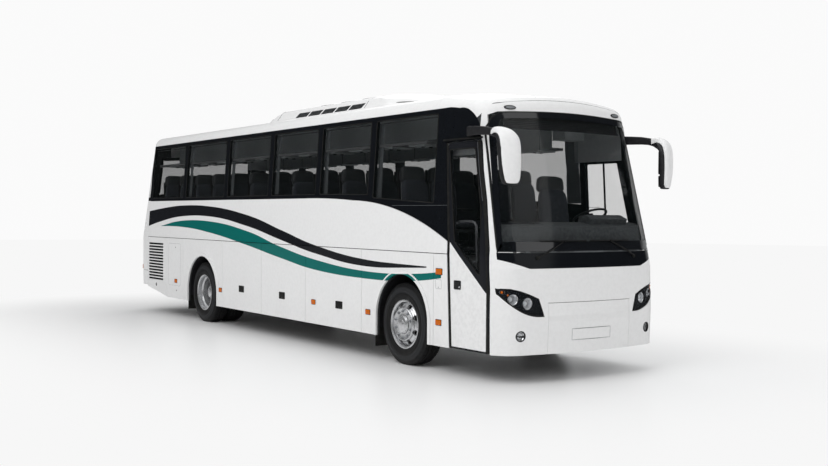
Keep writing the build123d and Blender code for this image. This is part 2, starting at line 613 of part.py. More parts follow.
for side, name in ((RIGHT, "right"), (LEFT, "left")):
    y = side * TRACK_Y
    write(f"tyre_front_{name}", tyre(0, y, side))
    write(f"wheel_front_{name}", front_rim(0, y, side))
    write(f"tyres_rear_{name}", [tyre(-WHEELBASE, y, side),
                                 tyre(-WHEELBASE, side * (TRACK_Y - TWIN_PITCH), side)])
    write(f"wheels_rear_{name}", rear_rims(-WHEELBASE, y, side))

# ---- inside ------------------------------------------------------------------
def seat(x, y, base_z, width, top_z):
    """A seat facing forwards on its pedestal; x is the back of its headrest."""
    lean = 90
    steps = [(x + lean + 520, base_z + 350), (x + lean + 520, base_z + 470),
             (x + lean + 120, base_z + 440), (x + 110, top_z - 20), (x + 90, top_z),
             (x + 10, top_z), (x, top_z - 20), (x + lean, base_z + 330)]
    body = side_prism(steps, (y - width / 2, y + width / 2))
    return body + box((x + lean + 120, x + lean + 420), (y - width / 2 + 60, y + width / 2 - 60),
                      (base_z, base_z + 360))


seats = []
for n in range(12):
    x = -360 - SEAT_PITCH * n
    for side in SIDES:
        seats.append(seat(x, side * 690, FLOOR_Z, 900, 2512 + 8 * n))
write("passenger_seats", seats)
write("driver_seat", seat(600, 600, DRIVER_Z, 520, 2400))
DASH = [(1300, 1500), (1500, 1400), (1780, 1400), (1905, 1480), (1880, 1760), (1560, 1812),
        (1500, 1790)]
dash = side_prism(DASH, (-1150, 1150)) & envelope(60)
dash = dash - box((1200, 1725), (-1300, -420), (1000, 1900))
binnacle = side_prism([(1480, 1700), (1700, 1700), (1760, 1850), (1640, 1900), (1540, 1880)],
                      (300, 900))
pedestal = box((1560, 1700), (150, 1000), (DRIVER_Z, 1450))
WHEEL_AT, WHEEL_LEAN, WHEEL_RADIUS = (1415, 600, 1880), 26, 225
hub = Pos(*WHEEL_AT) * Rot(0, -WHEEL_LEAN, 0)
column = hub * Pos(0, 0, -120) * Cylinder(30, 150)
write("dashboard", dash + binnacle + pedestal + column)
steering = (Torus(WHEEL_RADIUS - 14, 14) + Box(36, 2 * WHEEL_RADIUS - 28, 12)
            + Cylinder(50, 44) + Pos(-(WHEEL_RADIUS - 14) / 2, 0, 0) * Box(WHEEL_RADIUS - 14, 36, 12))
write("steering_wheel", hub * steering)
racks = []
for side in SIDES:
    racks.append(side_prism([(-8500, 2765), (350, 2765), (350, 2800), (-8500, 2800)],
                            span(side, 760, 1130))
                 + box((-8500, 350), span(side, 740, 775), (2765, 2850)))
write("luggage_racks", racks)

# ---- outside fittings ----------------------------------------------------------
# mirror heads: three plan outlines lofted, hung from an arm at each front corner
def mirror_set(side):
    """An arm from the roof pillar and the head that hangs from it."""
    s = side
    arm = plan_prism([(1215, s * 1130), (1300, s * 1200), (1560, s * 1262, 1800, s * 1290),
                      (1985, s * 1300), (2000, s * 1262), (1800, s * 1240), (1560, s * 1212, 1330, s * 1150),
                      (1300, s * 1130)], (2775, 2905))
    head = plan_prism([(1910, s * 1180), (1900, s * 1385), (2010, s * 1398, 2110, s * 1370),
                       (2190, s * 1300, 2180, s * 1190), (2080, s * 1165)], (2215, 2850))
    return arm, head


arms, heads = [], []
for side in SIDES:
    arm, head = mirror_set(side)
    heads.append(head)
    arms.append(arm - head - OUTER)
write("mirror_arms", [s for a in arms for s in solids_of(a) if s.volume > 1e5])
write("mirror_heads", heads)

def screen_x(y, z):
    """X of the windshield's surface."""
    nose = 2042 - (z - BELT_Z) * (2042 - 1545) / (RAKE_TOP_Z - BELT_Z)
    return nose - NOSE_R + sqrt(NOSE_R ** 2 - y ** 2)


wipers = []
for side in SIDES:
    wiper = rod((1960, side * 767, 1412), (2034, side * 767, 1412), 22) - OUTER
    wiper = wiper + rod((2026, side * 767, 1412), (2022, side * 360, 1602), 9)
    blade = plan_prism([(screen_x(y, 1600) + out, side * y) for y, out in
                        ((30, 6), (30, 26), (365, 26), (700, 26), (700, 6), (365, 6))],
                       (1590, 1612))
    wipers.append(wiper + blade)
write("wipers", wipers)

# marker lamps: X, Z, width, height, on both sides unless said
MARKERS = ((-7330, 646, 90, 36), (-5384, 604, 90, 36), (-2212, 633, 90, 36), (-756, 607, 90, 36),
           (815, 608, 90, 36), (807, 1215, 150, 50))
markers = []
for x, z, w, h in MARKERS:
    for side in SIDES:
        if x == -2212:
            continue
        markers.append(box((x - w / 2, x + w / 2), span(side, HALF_W, HALF_W + 14),
                           (z - h / 2, z + h / 2)))
write("marker_lamps", markers)
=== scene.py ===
"""Dresses the touring coach: finishes, glazing, lamps, wheels, cabin and studio."""

import logging
from dataclasses import dataclass
from enum import Enum
from math import atan2, ceil, copysign, cos, exp, hypot, pi, radians, sin, sqrt, tan
from typing import Callable, Sequence

import bmesh
import bpy
from bpy.types import Mesh, Node, NodeSocket, NodeTree, Object
from mathutils import Matrix, Vector


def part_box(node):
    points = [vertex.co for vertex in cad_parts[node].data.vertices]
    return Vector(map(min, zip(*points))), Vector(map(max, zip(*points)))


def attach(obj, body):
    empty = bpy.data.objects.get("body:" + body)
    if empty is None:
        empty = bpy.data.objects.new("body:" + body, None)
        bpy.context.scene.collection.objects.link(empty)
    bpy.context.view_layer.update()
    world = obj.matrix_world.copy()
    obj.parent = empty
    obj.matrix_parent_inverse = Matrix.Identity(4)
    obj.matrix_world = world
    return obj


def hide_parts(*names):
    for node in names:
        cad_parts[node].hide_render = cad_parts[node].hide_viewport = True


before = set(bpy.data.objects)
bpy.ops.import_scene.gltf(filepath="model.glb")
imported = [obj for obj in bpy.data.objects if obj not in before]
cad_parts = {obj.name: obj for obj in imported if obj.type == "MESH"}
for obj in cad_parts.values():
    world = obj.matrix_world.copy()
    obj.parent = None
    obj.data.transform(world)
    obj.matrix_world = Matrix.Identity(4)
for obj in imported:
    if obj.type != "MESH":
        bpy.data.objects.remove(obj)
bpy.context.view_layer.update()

LOG = logging.getLogger("coach")
HUB = [(a + b) / 2 for a, b in zip(*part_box("wheel_front_right"))]
AXLE_X = HUB[0]          # front axle, from the middle of the coach
WHEEL_Z = 0.512
LIFT = HUB[2] - WHEEL_Z  # heights below are given with the wheel centres at WHEEL_Z
WHEELBASE = 6.19
HALF_W = 1.275
TRACK_Y = 1.085
TWIN_PITCH = 0.33
BELT_Z = 1.43
TOP_Z = 3.56
WHITE = (0.815, 0.815, 0.815, 1.0)
Point = tuple[float, float, float]
Quad = tuple[float, float, float, float]
Outline = Sequence[tuple[float, float]]
Points = list[tuple[float, float]]
Lift = Callable[[float, float, float], Vector]


def turns(count: int) -> list[float]:
    """Angles that divide a circle equally, in radians."""
    return [2 * pi * k / count for k in range(count)]


def rect(u0: float, v0: float, u1: float, v1: float) -> Outline:
    """The corners of a rectangle, anticlockwise."""
    return ((u0, v0), (u1, v0), (u1, v1), (u0, v1))


def signed_power(value: float, power: float) -> float:
    """A power of a value that keeps the value's sign."""
    return copysign(abs(value) ** power, value)


def linked(name: str, data: object) -> Object:
    """A new object in the scene.

    Args:
        name: Its name.
        data: Its mesh, lamp or camera.

    Returns:
        The object.
    """
    item = bpy.data.objects.new(name, data)
    bpy.context.scene.collection.objects.link(item)
    return item


class Side(Enum):
    """Which side of the coach a piece is on; the value is the sign of Y."""

    RIGHT = -1
    LEFT = 1

    @property
    def word(self) -> str:
        """The side's name as the nodes and bodies spell it."""
        return self.name.lower()


def at(x: float, y: float, z: float) -> Vector:
    """A point given from the front axle, in the coach's frame."""
    return Vector((x + AXLE_X, y, z + LIFT))


def side_y(z: float) -> float:
    """Half width of the body's outer skin at height z."""
    rake = (1.275 - 1.134) / (TOP_Z - BELT_Z)
    return HALF_W - max(0.0, z - BELT_Z) * rake


# plan sections of the body: height, half width, front end
SECTIONS = ((0.25, 1.275, 2.075), (0.76, 1.275, 2.092), (1.29, 1.275, 2.073), (BELT_Z, 1.275, 2.042),
    (TOP_Z, 1.134, 1.545))
NOSE_R, CORNER_R = 5.5, 0.34


def front_x(y: float, z: float) -> float:
    """X of the front skin from the front axle, round the corners too.

    Args:
        y: Distance from the centre line, either side.
        z: Height.

    Returns:
        The skin's X from the front axle.
    """
    for (z0, w0, n0), (z1, w1, n1) in zip(SECTIONS, SECTIONS[1:]):
        if z <= z1 or z1 == SECTIONS[-1][0]:
            t = (z - z0) / (z1 - z0)
            half, nose = w0 + t * (w1 - w0), n0 + t * (n1 - n0)
            break
    y = min(abs(y), half - 1e-4)
    middle = nose - NOSE_R + sqrt((NOSE_R - CORNER_R) ** 2 - (half - CORNER_R) ** 2)
    turn = atan2(half - CORNER_R, middle - nose + NOSE_R)
    if y <= NOSE_R * sin(turn):
        return nose - NOSE_R + sqrt(NOSE_R ** 2 - y ** 2)
    return middle + sqrt(CORNER_R ** 2 - (y - half + CORNER_R) ** 2)


def skin_y(x: float, z: float) -> float:
    """Half width of the front skin at X and Z, on the corner's round.

    Args:
        x: Distance ahead of the front axle.
        z: Height.

    Returns:
        The half width.
    """
    low, high = 0.5, 1.25
    for _ in range(30):
        y = (low + high) / 2
        low, high = (y, high) if front_x(y, z) > x else (low, y)
    return (low + high) / 2


def on_front(y: float, z: float, out: float = 0.0) -> Vector:
    """A point on the front skin, moved outwards by out, square to the skin in plan.

    Args:
        y: Distance from the centre line.
        z: Height.
        out: How far off the skin.

    Returns:
        The point.
    """
    near = abs(y)
    slope = (front_x(near + 0.002, z) - front_x(max(0.0, near - 0.002), z)) / 0.004
    normal = Vector((1.0, -slope if y > 0 else slope, 0.0)).normalized()
    return at(front_x(y, z), y, z) + normal * out


def on_side(x: float, z: float, side: Side, out: float = 0.0) -> Vector:
    """A point on a side's outer skin, moved outwards by out."""
    return at(x, side.value * (side_y(z) + out), z)


# ---- node trees ----


class Value:
    """A socket that reckons: each sign between two values adds a Math node."""

    def __init__(self, tree: "Tree", socket: NodeSocket) -> None:
        """Wraps a socket of a tree."""
        self.tree = tree
        self.socket = socket

    def do(self, operation: str, other: object = 0.0, clamp: bool = False) -> "Value":
        """A Math node on this value and another."""
        return self.tree.math(operation, self, other, clamp)

    def __add__(self, other: object) -> "Value":
        """Their sum."""
        return self.do("ADD", other)

    def __radd__(self, other: object) -> "Value":
        """Their sum, with a number first."""
        return self.tree.math("ADD", other, self)

    def __sub__(self, other: object) -> "Value":
        """Their difference."""
        return self.do("SUBTRACT", other)

    def __rsub__(self, other: object) -> "Value":
        """A number less this value."""
        return self.tree.math("SUBTRACT", other, self)

    def __mul__(self, other: object) -> "Value":
        """Their product."""
        return self.do("MULTIPLY", other)

    def __gt__(self, other: object) -> "Value":
        """1 where this value is the greater."""
        return self.do("GREATER_THAN", other)

    def __lt__(self, other: object) -> "Value":
        """1 where this value is the smaller."""
        return self.do("LESS_THAN", other)

    def __abs__(self) -> "Value":
        """The value without its sign."""
        return self.do("ABSOLUTE")


class Tree:
    """A short way to write shader and geometry node trees."""

    def __init__(self, tree: NodeTree) -> None:
        """Wraps a node tree."""
        self.tree = tree

    def plug(self, socket: NodeSocket, value: object) -> None:
        """Links a value to an input, or sets the input to it.

        Args:
            socket: The input.
            value: A number, a colour, a value or a socket.
        """
        if isinstance(value, Value):
            value = value.socket
        if isinstance(value, NodeSocket):
            self.tree.links.new(value, socket)
        else:
            socket.default_value = value

    def add(self, kind: str, values: dict | None = None, **settings: object) -> Node:
        """Adds a node.

        Args:
            kind: The node's type name.
            values: Input name or index to a value or to a socket to link from.
            **settings: Properties of the node.

        Returns:
            The new node.
        """
        node = self.tree.nodes.new(kind)
        for name, value in settings.items():
            setattr(node, name, value)
        for name, value in (values or {}).items():
            self.plug(node.inputs[name], value)
        return node

    def value(self, kind: str, values: dict | None = None, output: int | str = 0,
            **settings: object) -> Value:
        """One output of a new node."""
        return Value(self, self.add(kind, values, **settings).outputs[output])

    def math(self, operation: str, a: object, b: object = 0.0, clamp: bool = False) -> Value:
        """A Math node on two values, kept from 0 to 1 if clamp is set."""
        return self.value("ShaderNodeMath", {0: a, 1: b}, operation=operation, use_clamp=clamp)

    def parts(self, vector: object) -> list[Value]:
        """X, Y and Z of a vector."""
        return [Value(self, s) for s in self.add("ShaderNodeSeparateXYZ", {0: vector}).outputs]

    def step(self, value: object, low: float, high: float) -> Value:
        """A smooth ramp from 0 at low to 1 at high."""
        return self.value("ShaderNodeMapRange", {"Value": value, "From Min": low, "From Max": high},
            interpolation_type="SMOOTHSTEP")

    def mix(self, factor: object, a: object, b: object) -> Value:
        """A colour mix, from a at factor 0 to b at 1."""
        return self.value("ShaderNodeMix", {0: factor, 6: a, 7: b}, 2, data_type="RGBA", clamp_factor=True)

    def noise(self, where: object, scale: object, detail: float, roughness: float = 0.5) -> Value:
        """Noise from 0 to 1.

        Args:
            where: The place on the coach.
            scale: Waves per metre.
            detail: Finer layers.
            roughness: Their share.

        Returns:
            The noise.
        """
        return self.value("ShaderNodeTexNoise", {"Vector": where, "Scale": scale, "Detail": detail,
            "Roughness": roughness})

    def rays(self) -> list[Value]:
        """Whether a ray is the camera's own, a reflected one, or one that went through glass."""
        outputs = self.add("ShaderNodeLightPath").outputs
        return [Value(self, outputs[f"Is {kind} Ray"]) for kind in ("Camera", "Glossy", "Transmission")]


def shader_group(name: str, numbers: dict[str, float], outputs: Sequence[str],
        build: Callable[[Tree, dict], dict]) -> NodeTree:
    """A reusable shader node group that reads a place and some numbers.

    Args:
        name: The group's name.
        numbers: Name and default of each number.
        outputs: Name of each number that it puts out.
        build: Makes the nodes from the inputs and returns the outputs by name.

    Returns:
        The group.
    """
    group = bpy.data.node_groups.new(name, "ShaderNodeTree")
    group.interface.new_socket("Vector", in_out="INPUT", socket_type="NodeSocketVector")
    for label, default in numbers.items():
        socket = group.interface.new_socket(label, in_out="INPUT", socket_type="NodeSocketFloat")
        socket.default_value = default
    for label in outputs:
        group.interface.new_socket(label, in_out="OUTPUT", socket_type="NodeSocketFloat")
    tree = Tree(group)
    source, sink = group.nodes.new("NodeGroupInput"), group.nodes.new("NodeGroupOutput")
    for label, value in build(tree, {s.name: s for s in source.outputs}).items():
        tree.plug(sink.inputs[label], value)
    return group


def build_grain(tree: Tree, given: dict) -> dict:
    """Fine random grain: a height and a value from 0 to 1."""
    noise = tree.noise(given["Vector"], given["Scale"], 4.0, 0.6)
    return {"Height": noise * given["Height"], "Value": noise}


def build_dust(tree: Tree, given: dict) -> dict:
    """Road dust that gathers towards the ground and in patches.

    Args:
        tree: The node tree.
        given: The group's inputs by name.

    Returns:
        The mask by name.
    """
    low = tree.value("ShaderNodeMapRange", {"Value": tree.parts(given["Vector"])[2], "From Min": 0.15,
        "From Max": given["Top"], "To Min": 1.0, "To Max": 0.0})
    patch = tree.step(tree.noise(given["Vector"], 2.2, 6.0, 0.62), 0.35, 0.75)
    return {"Mask": (low * patch).do("MULTIPLY", given["Amount"], clamp=True)}


def build_swoosh(tree: Tree, given: dict) -> dict:
    """Two sweeping stripes along the sides, as masks of X and Z.

    Args:
        tree: The node tree.
        given: The group's inputs by name.

    Returns:
        The masks by name.
    """
    x, y, z = tree.parts(tree.value("ShaderNodeVectorMath", {0: given["Vector"], 1: (0.0, 0.0, -LIFT)},
        operation="ADD"))
    stations = (-9.2, -8.12, -7.0, -5.9, -4.48, -3.2, -2.09, -0.81, 0.1, 1.2)
    tail, run, foot, rise = 9.2, 10.4, 1.0, 1.2
    along = (x + (tail - AXLE_X)).do("DIVIDE", run)
    on_side = abs(y) > 1.02

    def edge(*heights: float) -> Value:
        """The height of a stripe's edge, which passes these heights at the stations.

        Args:
            *heights: Its heights, from the rear.

        Returns:
            Its height at each X.
        """
        node = tree.add("ShaderNodeFloatCurve", {"Value": along})
        curve = node.mapping.curves[0]
        for n, (far, high) in enumerate(zip(stations, heights)):
            spot = ((far + tail) / run, (high - foot) / rise)
            if n < 2:
                curve.points[n].location = spot
            else:
                curve.points.new(*spot)
        node.mapping.extend = "HORIZONTAL"
        node.mapping.update()
        return Value(tree, node.outputs[0]) * rise + foot

    def band(low: Value, high: Value, x0: float, x1: float) -> Value:
        """1 between two edges, from x0 to x1."""
        return (z > low) * (z < high) * ((x > x0 + AXLE_X) * (x < x1 + AXLE_X)) * on_side

    dark_top = edge(1.87, 1.972, 2.026, 2.004, 1.868, 1.634, 1.43, 1.292, 1.268, 1.262)
    dark_low = edge(1.53, 1.728, 1.834, 1.832, 1.694, 1.488, 1.317, 1.204, 1.226, 1.29)
    teal_top = edge(1.5, 1.642, 1.754, 1.748, 1.616, 1.386, 1.23, 1.139, 1.15, 1.262)
    teal_low = edge(1.6, 1.64, 1.634, 1.56, 1.396, 1.218, 1.088, 1.042, 1.06, 1.2)
    return {"Dark": band(dark_low, dark_top, -9.6, 0.56), "Teal": band(teal_low, teal_top, -8.3, 0.86)}


def build_lining(tree: Tree, given: dict) -> dict:
    """A mask of what lies behind the body's outer skin, where the shells take a near-black painted shade.

    Args:
        tree: The node tree.
        given: The group's inputs by name.

    Returns:
        The mask by name.
    """
    x, y, z = tree.parts(tree.value("ShaderNodeVectorMath", {0: given["Vector"], 1: (-AXLE_X, 0.0, -LIFT)},
        operation="ADD"))
    over, across = (z - BELT_Z).do("MAXIMUM"), abs(y)
    square = across.do("POWER", 2.0)
    half = HALF_W - over * 0.0662
    sides = across < half - given["Depth"]
    bow = square * 0.092 + (across - 0.9).do("MAXIMUM").do("POWER", 2.0) * 2.1
    ahead = x < (2.035 - over * 0.2333) - bow - given["Depth"]
    radius = 0.11 + over * 0.0751
    past = (across - (half - radius)).do("MAXIMUM")
    round_off = radius - (radius * radius - past * past).do("MAXIMUM").do("SQRT")
    behind = x > (-9.07 + round_off) + over * 0.146
    roof = 3.372 - square * 0.0833 - (across - 0.985).do("MAXIMUM").do("POWER", 2.0) * 5.5
    below = z < roof - (x - 0.65).do("MAXIMUM") * 0.13
    return {"Mask": sides * ahead * (behind * below)}


class Effects:
    """The shader groups that more than one finish uses."""

    def __init__(self) -> None:
        """Builds every group once."""
        self.grain = shader_group("fine_grain", {"Scale": 200.0, "Height": 1.0}, ("Height", "Value"),
            build_grain)
        self.dust = shader_group("road_dust", {"Top": 0.9, "Amount": 0.3}, ("Mask",), build_dust)
        # a mask of the faces behind the skin, which take a near-black painted shade
        self.lining = shader_group("behind_skin", {"Depth": 0.014}, ("Mask",), build_lining)
        self.swoosh = shader_group("side_swoosh", {}, ("Dark", "Teal"), build_swoosh)


EFFECTS = Effects()


@dataclass(frozen=True)
class Finish:
    """One surface finish, built as a node material.

    Fields are the base colour, roughness, metal share, clear coat, grain size per
    metre, grain height in metres, how far roughness varies, and how much dust lies
    on it up to which height.
    """

    name: str
    color: Quad
    roughness: float = 0.4
    metallic: float = 0.0
    coat: float = 0.0
    grain: float = 400.0
    height: float = 0.0002
    vary: float = 0.08
    dust: float = 0.0
    dust_top: float = 0.9
    second: Quad | None = None
    specular: float = 0.5

    def build(self) -> bpy.types.Material:
        """The material, made at its first use.

        Returns:
            The material.
        """
        name = f"{self.name}_finish"
        if name in bpy.data.materials:
            return bpy.data.materials[name]
        material = bpy.data.materials.new(name)
        material.use_nodes = True
        tree = Tree(material.node_tree)
        shader = material.node_tree.nodes["Principled BSDF"]
        where = tree.value("ShaderNodeTexCoord", output="Object")
        color = self.paint(tree, where)
        grain = tree.add("ShaderNodeGroup", {"Vector": where, "Scale": self.grain}, node_tree=EFFECTS.grain)
        roughness = tree.value("ShaderNodeMapRange", {"Value": grain.outputs["Value"], "From Min": 0.3,
            "From Max": 0.7, "To Min": max(0.02, self.roughness - self.vary),
            "To Max": min(1.0, self.roughness + self.vary)})
        if self.dust:
            dust = tree.value("ShaderNodeGroup", {"Vector": where, "Top": self.dust_top,
                "Amount": self.dust}, node_tree=EFFECTS.dust)
            color = tree.mix(dust, color, (0.3, 0.28, 0.25, 1.0))
            roughness = roughness.do("ADD", dust * 0.35, clamp=True)
        bump = tree.value("ShaderNodeBump", {"Height": grain.outputs["Height"], "Strength": 0.35,
            "Distance": self.height})
        for label, value in (("Base Color", color), ("Roughness", roughness), ("Normal", bump),
                ("Metallic", self.metallic), ("Coat Weight", self.coat), ("Coat Roughness", 0.04),
                ("Specular IOR Level", self.specular)):
            tree.plug(shader.inputs[label], value)
        self.adjust(tree, shader)
        return material

    def paint(self, tree: Tree, where: Value) -> Value:
        """The base colour, with slow variation towards the second colour."""
        other = self.second or tuple(c * 0.93 for c in self.color[:3]) + (1.0,)
        return tree.mix(tree.step(tree.noise(where, self.grain / 40.0, 3.0), 0.35, 0.7), self.color, other)

    def adjust(self, tree: Tree, shader: Node) -> None:
        """Further settings of a finish of its own kind."""


def lined(tree: Tree, where: Value, base: Value) -> Value:
    """The base colour outside, and near black on every face behind the skin: painted shade in the seams, at
    the arch edges and inside the shells.
    """
    mask = tree.value("ShaderNodeGroup", {"Vector": where}, node_tree=EFFECTS.lining)
    # near black behind the skin: painted shade in seams, at arch edges and inside the shells
    return tree.mix(mask, base, (0.045, 0.047, 0.05, 1.0))


@dataclass(frozen=True)
class ShellPaint(Finish):
    """Plain paint on a hollow moulding, with a painted shade on the faces behind its skin."""

    def paint(self, tree: Tree, where: Value) -> Value:
        """The paint, then the painted shade behind the skin."""
        return lined(tree, where, super().paint(tree, where))


@dataclass(frozen=True)
class BumperPaint(ShellPaint):
    """Paint on the front moulding, with the soft crease pressed across its middle."""

    crease_z: float = 0.76
    half: float = 0.66

    def adjust(self, tree: Tree, shader: Node) -> None:
        """Adds the crease to the normal.

        Args:
            tree: The node tree.
            shader: The material's shader node.
        """
        _, y, z = tree.parts(tree.value("ShaderNodeTexCoord", output="Object"))
        near = 1.0 - tree.step(abs(z - (LIFT + self.crease_z)), 0.0, 0.075)
        inside = 1.0 - tree.step(abs(y), self.half - 0.03, self.half)
        tree.plug(shader.inputs["Normal"], tree.value("ShaderNodeBump", {"Height": near * inside,
            "Strength": 1.0, "Distance": 0.012}))


@dataclass(frozen=True)
class LiveryPaint(Finish):
    """White coach paint with the two side stripes."""

    dark: Quad = (0.008, 0.009, 0.012, 1.0)
    teal: Quad = (0.0, 0.135, 0.12, 1.0)

    def paint(self, tree: Tree, where: Value) -> Value:
        """White, then the stripes over it, but for a thin white ring on the front arch's lip that is a
        painted highlight, then the painted shade behind the skin.

        Args:
            tree: The node tree.
            where: The place on the coach.

        Returns:
            The colour.
        """
        base = super().paint(tree, where)
        swoosh = tree.add("ShaderNodeGroup", {"Vector": where}, node_tree=EFFECTS.swoosh)
        x, _, z = tree.parts(where)
        x, z = x - (AXLE_X + 0.026), z - (LIFT + 0.569)
        reach = x * x + z * z
        # a thin ring on the arch lip's outer edge stays white: a painted highlight
        off_highlight_ring = (reach > 0.6268 ** 2).do("MAXIMUM", reach < 0.6068 ** 2)
        for word, color in (("Dark", self.dark), ("Teal", self.teal)):
            base = tree.mix(tree.math("MULTIPLY", swoosh.outputs[word], off_highlight_ring), base, color)
        return lined(tree, where, base)


@dataclass(frozen=True)
class DoorPaint(Finish):
    """White lower door panel under a black frame, split by a raking line."""

    def paint(self, tree: Tree, where: Value) -> Value:
        """Black over the raking line and along the rubber edges.

        Args:
            tree: The node tree.
            where: The place on the coach.

        Returns:
            The colour.
        """
        x, _, z = tree.parts(where)
        x, z = x - AXLE_X, z - LIFT
        above = z > (x - 1.031) * (-(1.56 - 1.038) / (1.675 - 1.031)) + 1.56
        behind = x < 1.07 - (z - 0.325) * 0.049
        edges = (x > 1.712).do("MAXIMUM", z < 0.355)
        black = above.do("MAXIMUM", behind).do("MAXIMUM", edges)
        return tree.mix(black, super().paint(tree, where), (0.012, 0.013, 0.016, 1.0))


@dataclass(frozen=True)
class TyreRubber(Finish):
    """Tyre rubber with a paler painted highlight ring on the sidewall's shoulder and a fainter one beside
    the rim.
    """

    # colour of the painted highlight rings
    ring: Quad = (0.027, 0.028, 0.03, 1.0)

    def paint(self, tree: Tree, where: Value) -> Value:
        """The rubber, then the painted highlight rings about the nearer axle.

        Args:
            tree: The node tree.
            where: The place on the coach.

        Returns:
            The colour.
        """
        base = super().paint(tree, where)
        x, _, z = tree.parts(where)
        along = abs(x - AXLE_X).do("MINIMUM", abs(x - (AXLE_X - WHEELBASE)))
        up = z - HUB[2]
        reach = (along * along + up * up).do("SQRT")
        # paler bands where the sidewall would catch the light: painted highlights
        for low, high, share in ((0.385, 0.475, 1.0), (0.316, 0.338, 0.35)):
            band = tree.step(reach, low, low + 0.025) * (1.0 - tree.step(reach, high - 0.025, high))
            base = tree.mix(band * share, base, self.ring)
        return base


@dataclass(frozen=True)
class Glass(Finish):
    """Tinted glass that shows what is behind it, darkened; clearer ahead of an X."""

    alpha: float = 0.6
    clear: float | None = None
    clear_from: float = 0.7

    def adjust(self, tree: Tree, shader: Node) -> None:
        """Makes the pane see-through by its tint.

        Args:
            tree: The node tree.
            shader: The material's shader node.
        """
        shader.inputs["IOR"].default_value = 1.5
        alpha = self.alpha
        if self.clear is not None:
            x, _, _ = tree.parts(tree.value("ShaderNodeTexCoord", output="Object"))
            alpha = alpha - (x > AXLE_X + self.clear_from) * (alpha - self.clear)
        tree.plug(shader.inputs["Alpha"], alpha)


@dataclass(frozen=True)
class Lamp(Finish):
    """A coloured lens with a faint glow of its own colour."""

    glow: float = 0.0

    def adjust(self, tree: Tree, shader: Node) -> None:
        """Adds the glow."""
        tree.plug(shader.inputs["Emission Color"], self.color)
        tree.plug(shader.inputs["Emission Strength"], self.glow)


# what the white gloss paints share, and their second colour
GLOSS = {"color": WHITE, "roughness": 0.24, "vary": 0.03, "grain": 900}
SHADE = (0.79, 0.79, 0.79, 1.0)


